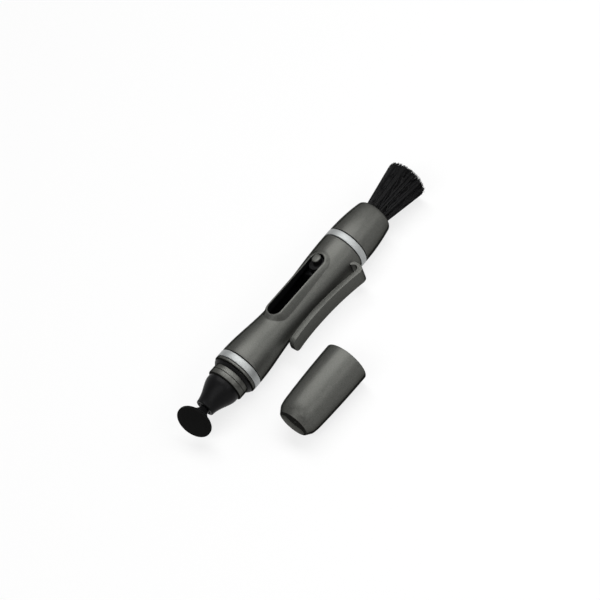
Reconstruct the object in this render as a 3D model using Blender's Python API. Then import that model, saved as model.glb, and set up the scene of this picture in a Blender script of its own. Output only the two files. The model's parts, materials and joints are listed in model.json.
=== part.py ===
"""Lens cleaning pen with a slide-out brush, a swivelling cleaning tip and its cap taken off.

The pen lies along X, tip towards -X and brush towards +X, with its slider slot facing up (+Z) and its
pocket clip facing -Y. It rests on its two trim rings at Z = 0. The cap lies beside it on the clip side.
The origin is under the middle of everything. Stations along the pen are counted from the tip end of
the barrel, in metres.
"""

import math
import random

import bmesh
import bpy
from mathutils import Matrix, Vector

MM = 0.001

# Clearances
SEAT_GAP = 0.3 * MM  # between a piece and what it seats on
RUN_GAP = 0.4 * MM  # between the brush slide and the bore that guides it
NECK_GAP = 0.12 * MM  # between the neck and the nozzle's mouth at full tilt
CAP_FIT = 0.45 * MM  # between the cap's bore and the spigot

# Trim rings
RING_RADIUS = 8.0 * MM
RING_WIDTH = 2.5 * MM
RING_EDGE = 0.25 * MM

# Barrel
BARREL_LENGTH = 52.4 * MM
BARREL_INSET = 0.05 * MM  # how far its ends lie inside the trim rings
BARREL_WALL = 1.25 * MM
WAIST_DEPTH = 1.6 * MM
WAIST_SHARE = 0.4  # its place along the barrel

# Slot and its raised rim
SLOT_SET_BACK = 8.0 * MM  # from its rear end to the barrel's
SLOT_LENGTH = 26.8 * MM
SLOT_WIDTH = 5.2 * MM
RIM_LIP = 0.55 * MM
RIM_EDGE = 0.2 * MM
RIM_RISE = 1.2 * MM  # over the waist
RIM_DEPTH = 3.6 * MM  # from its top to its buried foot
RIM_FLARE = 1.5 * MM  # by how much its foot is wider all round
RIM_FLARE_POWER = 2
RIM_SHARES = (1.0, 0.85, 0.7, 0.5, 0.25)  # heights of its flank's outlines, from the foot up

# Pocket clip
CLIP_WIDTH = 5.4 * MM
CLIP_THICKNESS = 2.0 * MM
CLIP_SET_BACK = 2.2 * MM  # from its root to the barrel's rear end
CLIP_SLOPE = 2.4 * MM  # along the pen, from the root to the corner
CLIP_BOW = 24.2 * MM  # from the root to where the arm comes nearest to the barrel
CLIP_BOW_GAP = 2.0 * MM  # between the arm and the barrel there
CLIP_BOW_RADIUS = 89.0 * MM
CLIP_LENGTH = 36.1 * MM  # from the root to the tip
CLIP_PAD_LENGTH = 4.5 * MM  # straight end of the arm
CLIP_TIP_ROUND = 1.9 * MM
CLIP_BEND = 1.2 * MM

# Brush shroud
SHROUD_LENGTH = 14.5 * MM
SHROUD_DROP = 1.55 * MM  # by how much its radius falls to the mouth end
SHROUD_EDGE = 1.0 * MM
SHROUD_LIP = 1.6 * MM  # length of the narrow mouth
SHROUD_SPIGOT = 6.5 * MM  # length inside the barrel

# Nose collar, seal and nozzle
FLANGE_WIDTH = 0.9 * MM
SPIGOT_STEP = 1.45 * MM  # spigot radius under the ring radius
SPIGOT_LENGTH = 4.6 * MM
SPIGOT_LINE = 0.25 * MM  # fine line between its two bands
COLLAR_TAIL = 6.0 * MM  # length inside the barrel
SEAL_WIDTH = 1.2 * MM
SEAL_SEAT = 0.3 * MM  # depth of its seat in the spigot
SEAL_PROUD = 0.35 * MM  # over the spigot, at its small end
NOZZLE_STEP = 0.65 * MM  # nozzle radius under the spigot radius
NOZZLE_LENGTH = 9.8 * MM
NOZZLE_LAND = 1.2 * MM  # straight length at the big end
NOZZLE_FALL = 0.87  # under 1 draws the bell's curve towards its big end
LIP_WALL = 0.85 * MM
LIP_EDGE = 0.35 * MM
BOSS_LENGTH = 3.0 * MM
BOSS_WALL = 0.9 * MM  # nozzle wall over the boss

# Swivelling tip
BALL_RADIUS = 2.5 * MM
BALL_CATCH = 0.07 * MM  # how far the mouth closes inside the ball
LIP_LAND = 0.12 * MM  # straight length of the mouth
TILT_LIMIT = math.radians(24)
TILT = math.radians(22)
TILT_HEADING = math.radians(43)  # from the slot towards the clip
NECK_LENGTH = 2.2 * MM  # from the ball's centre to where it flares
TIP_LENGTH = 8.8 * MM  # from the ball's centre to the pad's face
PAD_RADIUS = 6.1 * MM
PAD_THICKNESS = 0.6 * MM
PAD_EDGE = 0.2 * MM
DISC_EDGE = 0.4 * MM
FLARE_POWER = 1.6  # over 1 draws the trumpet's curve towards the disc

# Brush and its slide
NUB_LENGTH = 3.4 * MM
NUB_WIDTH = 2.8 * MM
NUB_PROUD = 1.7 * MM  # over the rim
KEY_GAP = 0.3 * MM  # between the slider's key and the slot, all round
KEY_LENGTH = 5.6 * MM
KEY_DROP = 0.9 * MM  # key's top under the rim's top
SOCKET_DEPTH = 1.6 * MM  # of the slider's foot in the slide
SLIDE_NOSE = 4.2 * MM  # slide in front of the nub's middle
SLIDE_WALL = 0.85 * MM
SLIDE_EDGE = 0.5 * MM
FERRULE_LENGTH = 10.0 * MM
FERRULE_SET_BACK = 7.9 * MM  # from its end to the shroud's mouth
FERRULE_SEAT = 4.0 * MM  # length held in the slide
FERRULE_WALL = 0.35 * MM
BRISTLE_LENGTH = 26.5 * MM  # free length out of the ferrule
BRISTLE_FLARE = 4.45 * MM  # how far the tuft widens over that length
BRISTLE_SLICE = 3.0 * MM  # potted root inside the ferrule
BRISTLE_DOME = 0.6 * MM
BRISTLE_RAGGED = 0.9 * MM
BRISTLE_OPEN = 0.1  # part of a strand's cell left open along each side, at the root
BRISTLE_SPLAY = 1.6  # how much wider a strand, which stands for a few hairs, is at its end
BRISTLE_ROWS = 8  # strands number six times its square
BRISTLE_SEED = 5

# Cap
CAP_LENGTH = 26.9 * MM
CAP_WALL = 0.7 * MM
CAP_TAPER = 1.0 * MM
CAP_ROUND_LENGTH = 5.0 * MM
CAP_ROUND_DEPTH = 1.4 * MM
CAP_MOUTH_EDGE = 0.25 * MM
CAP_END_RIM = 0.5 * MM
CAP_DISH_DEPTH = 1.4 * MM
CAP_DISH_POWER = 5  # over 1 steepens the dish's wall
CAP_VENT_RADIUS = 0.6 * MM
CAP_PLACE = 18.7 * MM  # its mouth, as a station along the pen
CAP_ASIDE = 29.3 * MM  # between the two axes
CUP_HEIGHT = 2.5 * MM
CUP_WALL = 0.6 * MM
FOAM_PROUD = 0.3 * MM

# Facets
STEPS = 32
SMALL_STEPS = 24
NUB_STEPS = 16
BARREL_POINTS = 8  # on each side of the waist
LONG_CURVE_POINTS = 9
SHORT_CURVE_POINTS = 5
CORNER_POINTS = 4
SMOOTH_ANGLE = math.radians(32)
MERGE_DISTANCE = 0.0001 * MM

# Sizes that follow
BARREL_RADIUS = RING_RADIUS - BARREL_INSET
WAIST_RADIUS = BARREL_RADIUS - WAIST_DEPTH
GUIDE_BORE = WAIST_RADIUS - BARREL_WALL
SLIDE_RADIUS = GUIDE_BORE - RUN_GAP
TAIL_RADIUS = BARREL_RADIUS - BARREL_WALL - SEAT_GAP
RIM_TOP = WAIST_RADIUS + RIM_RISE
SPIGOT_RADIUS = RING_RADIUS - SPIGOT_STEP
NOZZLE_RADIUS = SPIGOT_RADIUS - NOZZLE_STEP
MOUTH_RADIUS = BALL_RADIUS - BALL_CATCH
SEAT_RADIUS = BALL_RADIUS + SEAT_GAP
SEAT_REACH = math.sqrt(SEAT_RADIUS**2 - MOUTH_RADIUS**2)
LIP_TO_BALL = SEAT_REACH + LIP_LAND
NECK_RADIUS = (MOUTH_RADIUS - NECK_GAP - LIP_TO_BALL * math.tan(TILT_LIMIT)) * math.cos(TILT_LIMIT)
FERRULE_RADIUS = SLIDE_RADIUS - SLIDE_WALL - SEAT_GAP
TUFT_ROOT = FERRULE_RADIUS - FERRULE_WALL - SEAT_GAP
CAP_MOUTH_RADIUS = SPIGOT_RADIUS + CAP_FIT + CAP_WALL

# Stations that follow
FRONT_RING_END = -SEAT_GAP
FLANGE_END = FRONT_RING_END - RING_WIDTH - SEAT_GAP
FLANGE_FRONT = FLANGE_END - FLANGE_WIDTH
SPIGOT_FRONT = FLANGE_FRONT - SPIGOT_LENGTH
NOZZLE_END = SPIGOT_FRONT - SEAT_GAP
NOZZLE_FRONT = NOZZLE_END - NOZZLE_LENGTH
BALL_PLACE = NOZZLE_FRONT + LIP_TO_BALL
WAIST_PLACE = WAIST_SHARE * BARREL_LENGTH
REAR_RING_START = BARREL_LENGTH + SEAT_GAP
SHROUD_START = REAR_RING_START + RING_WIDTH + SEAT_GAP
SHROUD_END = SHROUD_START + SHROUD_LENGTH
SLOT_END = BARREL_LENGTH - SLOT_SET_BACK
SLOT_MIDDLE = SLOT_END - SLOT_LENGTH / 2
CLIP_ROOT_PLACE = BARREL_LENGTH - CLIP_SET_BACK
CLIP_CORNER_PLACE = CLIP_ROOT_PLACE - CLIP_SLOPE
CLIP_BOW_PLACE = CLIP_ROOT_PLACE - CLIP_BOW
CLIP_TIP_PLACE = CLIP_ROOT_PLACE - CLIP_LENGTH
NUB_PLACE = SLOT_END - KEY_GAP - KEY_LENGTH / 2
SLIDE_START = NUB_PLACE - SLIDE_NOSE
FERRULE_END = SHROUD_END - FERRULE_SET_BACK
FERRULE_START = FERRULE_END - FERRULE_LENGTH
SLIDE_END = FERRULE_START + FERRULE_SEAT
TUFT_END = FERRULE_END + BRISTLE_LENGTH

# The frame's middle, under everything
TIP_REACH = BALL_PLACE - TIP_LENGTH * math.cos(TILT) - PAD_RADIUS * math.sin(TILT)
PEN_X = -(TIP_REACH + TUFT_END) / 2
PEN_Y = (CAP_ASIDE + CAP_MOUTH_RADIUS - RING_RADIUS) / 2


def clear_scene():
    for obj in list(bpy.data.objects):
        bpy.data.objects.remove(obj, do_unlink=True)


def finish(name, colour, roughness, metallic=0.0):
    """A material with one Principled shader."""
    mat = bpy.data.materials.new(name)
    mat.use_nodes = True
    shader = mat.node_tree.nodes["Principled BSDF"]
    shader.inputs["Base Color"].default_value = (*colour, 1.0)
    shader.inputs["Roughness"].default_value = roughness
    shader.inputs["Metallic"].default_value = metallic
    return mat


def make_finishes():
    return {
        "gunmetal": finish("gunmetal_paint", (0.125, 0.125, 0.115), 0.42, 0.6),
        "silver": finish("satin_silver", (0.68, 0.70, 0.72), 0.3, 1.0),
        "black": finish("black_plastic", (0.012, 0.012, 0.013), 0.4),
        "rubber": finish("black_rubber", (0.014, 0.014, 0.014), 0.6),
        "chamois": finish("black_chamois", (0.01, 0.01, 0.01), 0.9),
        "hair": finish("black_hair", (0.008, 0.008, 0.009), 0.55),
        "nickel": finish("nickel_tube", (0.5, 0.5, 0.5), 0.35, 1.0),
        "foam": finish("carbon_foam", (0.02, 0.02, 0.02), 0.95),
    }


def empty(name, place, parent=None):
    obj = bpy.data.objects.new(name, None)
    obj.location = place
    obj.parent = parent
    bpy.context.collection.objects.link(obj)
    return obj


def add_object(name, bm, parent, mat=None):
    """Turns a bmesh into an object under its parent, smooth where it is round."""
    bmesh.ops.recalc_face_normals(bm, faces=bm.faces[:])
    mesh = bpy.data.meshes.new(name)
    bm.to_mesh(mesh)
    bm.free()
    mesh.shade_smooth()
    mesh.set_sharp_from_angle(angle=SMOOTH_ANGLE)
    obj = bpy.data.objects.new(name, mesh)
    obj.parent = parent
    bpy.context.collection.objects.link(obj)
    if mat:
        mesh.materials.append(mat)
    return obj


def cutter(name, bm, parent):
    obj = add_object(name, bm, parent)
    obj.hide_render = True
    obj.display_type = "WIRE"
    return obj


def combine(obj, other, operation):
    modifier = obj.modifiers.new(other.name, "BOOLEAN")
    modifier.operation = operation
    modifier.object = other


def smoothstep(share):
    share = min(max(share, 0.0), 1.0)
    return share * share * (3 - 2 * share)


def spread(start, end, count):
    """Evenly spaced values, both ends included."""
    return [start + (end - start) * i / (count - 1) for i in range(count)]


def turned_bmesh(profile, steps, closed):
    """A solid turned round X from (station, radius) points. A closed profile makes a ring."""
    bm = bmesh.new()
    verts = [bm.verts.new((x, 0, r)) for x, r in profile]
    pairs = list(zip(verts, verts[1:]))
    if closed:
        pairs.append((verts[-1], verts[0]))
    edges = [bm.edges.new(pair) for pair in pairs]
    bmesh.ops.spin(
        bm, geom=verts + edges, cent=(0, 0, 0), axis=(1, 0, 0), angle=math.tau, steps=steps, use_merge=True
    )
    bmesh.ops.remove_doubles(bm, verts=bm.verts[:], dist=MERGE_DISTANCE)
    return bm


def turned(name, profile, parent, mat, steps=STEPS, closed=True):
    return add_object(name, turned_bmesh(profile, steps, closed), parent, mat)


def chamfered_ring(start, end, inner, outer, edge):
    """Closed profile of a plain ring whose outer edges are taken off."""
    return [
        (start, inner),
        (start, outer - edge),
        (start + edge, outer),
        (end - edge, outer),
        (end, outer - edge),
        (end, inner),
    ]


def arc(centre, radius, start, end, count):
    """(station, radius) points of an arc, its angles counted from +X towards larger radius."""
    turns = spread(start, end, count)
    return [(centre[0] + radius * math.cos(a), centre[1] + radius * math.sin(a)) for a in turns]


def barrel_radius(x):
    """Outer radius of the waisted barrel at a station."""
    reach = WAIST_PLACE if x < WAIST_PLACE else BARREL_LENGTH - WAIST_PLACE
    return WAIST_RADIUS + WAIST_DEPTH * smoothstep(abs(x - WAIST_PLACE) / reach)


def bore_radius(x):
    return barrel_radius(x) - BARREL_WALL


def barrel_stations():
    front = spread(0, WAIST_PLACE, BARREL_POINTS)
    return front + spread(WAIST_PLACE, BARREL_LENGTH, BARREL_POINTS + 1)[1:]


def racetrack(middle, length, width, z):
    """Round-ended outline about a station, at a height over the pen's axis."""
    radius = width / 2
    points = []
    for side in (1, -1):
        centre = middle + side * (length - width) / 2
        for a in spread(-math.pi / 2, math.pi / 2, LONG_CURVE_POINTS):
            points.append((centre + side * radius * math.cos(a), side * radius * math.sin(a), z))
    return points


def slot_outline(grow, z):
    return racetrack(SLOT_MIDDLE, SLOT_LENGTH + 2 * grow, SLOT_WIDTH + 2 * grow, z)


def loft(outlines):
    """A closed solid through outlines of equal point counts."""
    bm = bmesh.new()
    rings = [[bm.verts.new(p) for p in outline] for outline in outlines]
    loops = [[bm.edges.new(pair) for pair in zip(ring, ring[1:] + ring[:1])] for ring in rings]
    for lower, upper in zip(loops, loops[1:]):
        bmesh.ops.bridge_loops(bm, edges=lower + upper)
    bm.faces.new(rings[0])
    bm.faces.new(rings[-1])
    return bm


def box_bmesh(low, high):
    bm = bmesh.new()
    low, high = Vector(low), Vector(high)
    bmesh.ops.create_cube(bm, size=1.0)
    bmesh.ops.scale(bm, vec=high - low, verts=bm.verts[:])
    bmesh.ops.translate(bm, vec=(low + high) / 2, verts=bm.verts[:])
    return bm


def rim_bmesh():
    """The raised rim about the slot, flaring at its foot, before bore and slot are cut."""
    outlines = []
    for share in RIM_SHARES:
        grow = RIM_FLARE * share**RIM_FLARE_POWER
        outlines.append(slot_outline(RIM_LIP + grow, RIM_TOP - RIM_DEPTH * share))
    for inset, drop in ((0.0, RIM_EDGE), (RIM_EDGE, 0.0)):
        outlines.append(slot_outline(RIM_LIP - inset, RIM_TOP - drop))
    return loft(outlines)


def slot_bmesh():
    return loft([slot_outline(0.0, z) for z in (0.0, RING_RADIUS + RIM_TOP)])


def make_barrel(pen, mats):
    stations = barrel_stations()
    outside = [(0, 0)] + [(x, barrel_radius(x)) for x in stations] + [(BARREL_LENGTH, 0)]
    barrel = turned("barrel_tube", outside, pen, mats["gunmetal"], closed=False)
    past = BARREL_WALL
    inside = [(-past, 0), (-past, bore_radius(0))] + [(x, bore_radius(x)) for x in stations]
    inside += [(BARREL_LENGTH + past, bore_radius(BARREL_LENGTH)), (BARREL_LENGTH + past, 0)]
    combine(barrel, cutter("rim_blank", rim_bmesh(), pen), "UNION")
    combine(barrel, cutter("bore_cut", turned_bmesh(inside, STEPS, False), pen), "DIFFERENCE")
    combine(barrel, cutter("slot_cut", slot_bmesh(), pen), "DIFFERENCE")
    half_x = CLIP_THICKNESS / 2 + SEAT_GAP
    half_z = CLIP_WIDTH / 2 + SEAT_GAP
    pocket = box_bmesh(
        (CLIP_ROOT_PLACE - half_x, -2 * RING_RADIUS, -half_z),
        (CLIP_ROOT_PLACE + half_x, -WAIST_RADIUS / 2, half_z),
    )
    combine(barrel, cutter("clip_pocket", pocket, pen), "DIFFERENCE")


def make_rings(pen, mats):
    inner = TAIL_RADIUS + SEAT_GAP
    for name, start in (
        ("front_trim_ring", FRONT_RING_END - RING_WIDTH),
        ("rear_trim_ring", REAR_RING_START),
    ):
        profile = chamfered_ring(start, start + RING_WIDTH, inner, RING_RADIUS, RING_EDGE)
        turned(name, profile, pen, mats["silver"])


def clip_path():
    """Middle line of the clip in the plane through the pen's axis: (station, distance from the axis)."""
    near = barrel_radius(CLIP_BOW_PLACE) + CLIP_BOW_GAP + CLIP_THICKNESS / 2

    def bow(x):
        return near + (x - CLIP_BOW_PLACE) ** 2 / (2 * CLIP_BOW_RADIUS)

    arm = spread(CLIP_TIP_PLACE + CLIP_PAD_LENGTH, CLIP_CORNER_PLACE, LONG_CURVE_POINTS)
    path = [(x, bow(x)) for x in [CLIP_TIP_PLACE] + arm]
    surface = barrel_radius(CLIP_ROOT_PLACE)
    return path + [
        (CLIP_ROOT_PLACE, surface + SEAT_GAP),
        (CLIP_ROOT_PLACE, bore_radius(CLIP_ROOT_PLACE) + SEAT_GAP),
    ]


def strip_outline(path, thickness):
    """Outline of a strip of even thickness along a path, mitred at its bends."""
    points = [Vector(p) for p in path]
    runs = [(b - a).normalized() for a, b in zip(points, points[1:])]
    sides = []
    for point, before, after in zip(points, runs[:1] + runs, runs + runs[-1:]):
        mitre = (before + after).normalized()
        normal = Vector((-mitre.y, mitre.x))
        sides.append((point, normal * (thickness / 2) / before.dot(mitre)))
    return [p + n for p, n in sides] + [p - n for p, n in reversed(sides)]


def make_clip(hinge, mats):
    """One bent strip: a bowed arm, a slope down to the barrel and a tongue in the barrel's pocket."""
    path = clip_path()
    outline = strip_outline(path, CLIP_THICKNESS)
    bm = bmesh.new()
    face = bm.faces.new([bm.verts.new((x, -away, -CLIP_WIDTH / 2)) for x, away in outline])
    grown = bmesh.ops.extrude_face_region(bm, geom=[face])["geom"]
    moved = [v for v in grown if isinstance(v, bmesh.types.BMVert)]
    bmesh.ops.translate(bm, vec=(0, 0, CLIP_WIDTH), verts=moved)
    bm.edges.ensure_lookup_table()
    tip = [
        e
        for e in bm.edges
        if all(v.co.x < CLIP_TIP_PLACE + CLIP_PAD_LENGTH / 2 for v in e.verts)
        and abs(e.verts[0].co.z - e.verts[1].co.z) < CLIP_WIDTH / 2
    ]
    bmesh.ops.bevel(
        bm,
        geom=tip,
        offset=CLIP_TIP_ROUND,
        segments=CORNER_POINTS,
        profile=0.5,
        affect="EDGES",
        material=-1,
    )
    corner = min(range(len(path)), key=lambda i: abs(path[i][0] - CLIP_CORNER_PLACE))
    bends = [outline[i] for i in (corner, len(outline) - 1 - corner)]
    across = [
        e
        for e in bm.edges
        if abs(e.verts[0].co.z - e.verts[1].co.z) > CLIP_WIDTH / 2
        and min((Vector((e.verts[0].co.x, -e.verts[0].co.y)) - b).length for b in bends) < MERGE_DISTANCE
    ]
    bmesh.ops.bevel(
        bm,
        geom=across,
        offset=CLIP_BEND,
        segments=CORNER_POINTS,
        profile=0.5,
        affect="EDGES",
        material=-1,
    )
    bmesh.ops.translate(bm, vec=-hinge.location, verts=bm.verts[:])
    add_object("pocket_clip", bm, hinge, mats["gunmetal"])


def tuft_radius(x):
    """Outer radius of the flared tuft at a station."""
    return TUFT_ROOT + BRISTLE_FLARE * (x - FERRULE_END) / BRISTLE_LENGTH


def make_shroud(pen, mats):
    """Rear sleeve: a spigot in the barrel, an arched taper and a narrow mouth round the tuft."""
    arch = (SHROUD_LENGTH**2 + SHROUD_DROP**2) / (2 * SHROUD_DROP)
    start_radius = BARREL_RADIUS
    outside = []
    for x in spread(SHROUD_START, SHROUD_END - SHROUD_EDGE, LONG_CURVE_POINTS):
        run = x - SHROUD_START
        outside.append((x, start_radius - arch + math.sqrt(arch**2 - run**2)))
    last = outside[-1][1]
    corner = arc((SHROUD_END - SHROUD_EDGE, last - SHROUD_EDGE), SHROUD_EDGE, math.pi / 2, 0, CORNER_POINTS)
    mouth = tuft_radius(SHROUD_END) + SEAT_GAP
    lip = SHROUD_END - SHROUD_LIP
    step = abs(GUIDE_BORE - mouth)
    inside = [
        (SHROUD_END, mouth + RING_EDGE),
        (SHROUD_END - RING_EDGE, mouth),
        (lip, mouth),
        (lip - step, GUIDE_BORE),
        (BARREL_LENGTH - SHROUD_SPIGOT, GUIDE_BORE),
    ]
    seated = spread(BARREL_LENGTH - SHROUD_SPIGOT, BARREL_LENGTH, SHORT_CURVE_POINTS)
    shoulder = [(x, bore_radius(x) - SEAT_GAP) for x in seated] + [(SHROUD_START, TAIL_RADIUS)]
    turned("brush_shroud", outside + corner[1:] + inside + shoulder, pen, mats["gunmetal"])


def nozzle_radius(x):
    """Outer radius of the bell-shaped nozzle at a station."""
    small = MOUTH_RADIUS + LIP_WALL
    run = NOZZLE_LENGTH - NOZZLE_LAND
    share = max(NOZZLE_END - NOZZLE_LAND - x, 0.0) / run
    return NOZZLE_RADIUS - (NOZZLE_RADIUS - small) * smoothstep(share**NOZZLE_FALL)


def boss_radius():
    return nozzle_radius(NOZZLE_END - BOSS_LENGTH - SEAT_GAP) - BOSS_WALL - SEAT_GAP


def make_nose(pen, mats):
    """Collar with flange, banded spigot and boss, the black seal on it, the nozzle and the ball's seat."""
    boss_front = SPIGOT_FRONT - BOSS_LENGTH
    line = FLANGE_FRONT - SEAL_WIDTH - SEAT_GAP - (SPIGOT_LENGTH - SEAL_WIDTH - SEAT_GAP) / 2
    seat = SPIGOT_RADIUS - SEAL_SEAT
    collar = [
        (boss_front, 0),
        (boss_front, boss_radius()),
        (SPIGOT_FRONT, boss_radius()),
        (SPIGOT_FRONT, SPIGOT_RADIUS - RING_EDGE),
        (SPIGOT_FRONT + RING_EDGE, SPIGOT_RADIUS),
        (line - SPIGOT_LINE / 2, SPIGOT_RADIUS),
        (line, SPIGOT_RADIUS - SPIGOT_LINE),
        (line + SPIGOT_LINE / 2, SPIGOT_RADIUS),
        (FLANGE_FRONT - SEAL_WIDTH - SEAT_GAP, SPIGOT_RADIUS),
        (FLANGE_FRONT - SEAL_WIDTH - SEAT_GAP, seat),
        (FLANGE_FRONT, seat),
        (FLANGE_FRONT, BARREL_RADIUS - RING_EDGE),
        (FLANGE_FRONT + RING_EDGE, BARREL_RADIUS),
        (FLANGE_END, BARREL_RADIUS),
        (FLANGE_END, TAIL_RADIUS),
    ]
    collar += [(x, bore_radius(x) - SEAT_GAP) for x in spread(0, COLLAR_TAIL, SHORT_CURVE_POINTS)]
    collar += [(COLLAR_TAIL, 0)]
    turned("nose_collar", collar, pen, mats["gunmetal"], closed=False)

    seal_start = FLANGE_FRONT - SEAL_WIDTH
    seal_end = FLANGE_FRONT - SEAT_GAP
    seal = [
        (seal_start, seat + SEAT_GAP),
        (seal_start, SPIGOT_RADIUS + SEAL_PROUD),
        (seal_end - RING_EDGE, BARREL_RADIUS - RING_EDGE),
        (seal_end, BARREL_RADIUS - 2 * RING_EDGE),
        (seal_end, seat + SEAT_GAP),
    ]
    turned("cap_seal_ring", seal, pen, mats["rubber"])

    lip = nozzle_radius(NOZZLE_FRONT)
    outside = [(NOZZLE_END, NOZZLE_RADIUS)]
    bell = spread(NOZZLE_END - NOZZLE_LAND, NOZZLE_FRONT + LIP_EDGE, LONG_CURVE_POINTS)
    outside += [(x, nozzle_radius(x)) for x in bell]
    lip_centre = (NOZZLE_FRONT + LIP_EDGE, lip - LIP_EDGE)
    outside += arc(lip_centre, LIP_EDGE, math.pi / 2, math.pi, CORNER_POINTS)[1:]
    mouth_angle = math.pi - math.asin(MOUTH_RADIUS / SEAT_RADIUS)
    cup = arc((BALL_PLACE, 0), SEAT_RADIUS, mouth_angle, math.pi / 2, SHORT_CURVE_POINTS)
    boss_seat = boss_front - SEAT_GAP
    inside = [(NOZZLE_FRONT, MOUTH_RADIUS)] + cup + [
        (boss_seat, SEAT_RADIUS),
        (boss_seat, boss_radius() + SEAT_GAP),
        (NOZZLE_END, boss_radius() + SEAT_GAP),
    ]
    turned("nozzle_cone", outside + inside, pen, mats["rubber"])

    plug = SEAT_RADIUS - SEAT_GAP
    reach = math.sqrt(SEAT_RADIUS**2 - plug**2)
    seat_arc = arc((BALL_PLACE, 0), SEAT_RADIUS, math.atan2(plug, reach), 0, SHORT_CURVE_POINTS)
    ball_seat = [(boss_seat, 0), (boss_seat, plug)] + seat_arc[:-1] + [(BALL_PLACE + SEAT_RADIUS, 0)]
    turned("ball_seat", ball_seat, pen, mats["black"], SMALL_STEPS, closed=False)


def make_tip(pivot, mats):
    """Ball, neck and trumpet disc as one piece, and the flat pad on it. Built straight, then tilted."""
    pad_back = TIP_LENGTH - PAD_THICKNESS
    disc_front = pad_back - SEAT_GAP
    disc_back = disc_front - DISC_EDGE
    neck_at_ball = math.asin(NECK_RADIUS / BALL_RADIUS)
    stem = [(-x, r) for x, r in arc((0, 0), BALL_RADIUS, math.pi, neck_at_ball, LONG_CURVE_POINTS)]
    stem[0] = (BALL_RADIUS, 0)
    for share in spread(0, 1, LONG_CURVE_POINTS):
        x = NECK_LENGTH + (disc_back - NECK_LENGTH) * share
        stem.append((-x, NECK_RADIUS + (PAD_RADIUS - PAD_EDGE - NECK_RADIUS) * share**FLARE_POWER))
    stem += [(-disc_back - PAD_EDGE, PAD_RADIUS), (-disc_front, PAD_RADIUS), (-disc_front, 0)]
    turned("tip_stem", stem, pivot, mats["rubber"], closed=False)
    pad = [
        (-pad_back, 0),
        (-pad_back, PAD_RADIUS),
        (-TIP_LENGTH + PAD_EDGE, PAD_RADIUS),
        (-TIP_LENGTH, PAD_RADIUS - PAD_EDGE),
        (-TIP_LENGTH, 0),
    ]
    turned("cleaning_pad", pad, pivot, mats["chamois"], closed=False)


def make_slide(brush, mats):
    """The slide inside the barrel, and the thumb slider whose foot sits in its pocket."""
    seat = FERRULE_RADIUS + SEAT_GAP
    profile = [
        (SLIDE_START, 0),
        (SLIDE_START, SLIDE_RADIUS - SLIDE_EDGE),
        (SLIDE_START + SLIDE_EDGE, SLIDE_RADIUS),
        (SLIDE_END - SLIDE_EDGE / 2, SLIDE_RADIUS),
        (SLIDE_END, SLIDE_RADIUS - SLIDE_EDGE / 2),
        (SLIDE_END, seat),
        (FERRULE_START - SEAT_GAP, seat),
        (FERRULE_START - SEAT_GAP, 0),
    ]
    slide = turned("brush_carriage", profile, brush, mats["black"], SMALL_STEPS, closed=False)
    foot = SLIDE_RADIUS - SOCKET_DEPTH
    key_width = SLOT_WIDTH - 2 * KEY_GAP
    pocket = [
        racetrack(NUB_PLACE, KEY_LENGTH + 2 * SEAT_GAP, key_width + 2 * SEAT_GAP, z)
        for z in (foot - SEAT_GAP, 2 * SLIDE_RADIUS)
    ]
    combine(slide, cutter("slider_pocket", loft(pocket), brush), "DIFFERENCE")

    key_top = RIM_TOP - KEY_DROP
    key = loft([racetrack(NUB_PLACE, KEY_LENGTH, key_width, z) for z in (foot, key_top)])
    slider = add_object("thumb_slider", key, brush, mats["black"])
    nub = bmesh.new()
    bmesh.ops.create_uvsphere(nub, u_segments=NUB_STEPS, v_segments=LONG_CURVE_POINTS, radius=1.0)
    height = KEY_DROP + NUB_PROUD
    bmesh.ops.scale(nub, vec=(NUB_LENGTH / 2, NUB_WIDTH / 2, height), verts=nub.verts[:])
    bmesh.ops.translate(nub, vec=(NUB_PLACE, 0, key_top), verts=nub.verts[:])
    combine(slider, cutter("nub_blank", nub, brush), "UNION")


def make_ferrule(brush, mats):
    inner = FERRULE_RADIUS - FERRULE_WALL
    profile = [
        (FERRULE_START, inner),
        (FERRULE_START, FERRULE_RADIUS),
        (FERRULE_END, FERRULE_RADIUS),
        (FERRULE_END, inner),
    ]
    turned("brush_ferrule", profile, brush, mats["nickel"], SMALL_STEPS)


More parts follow.
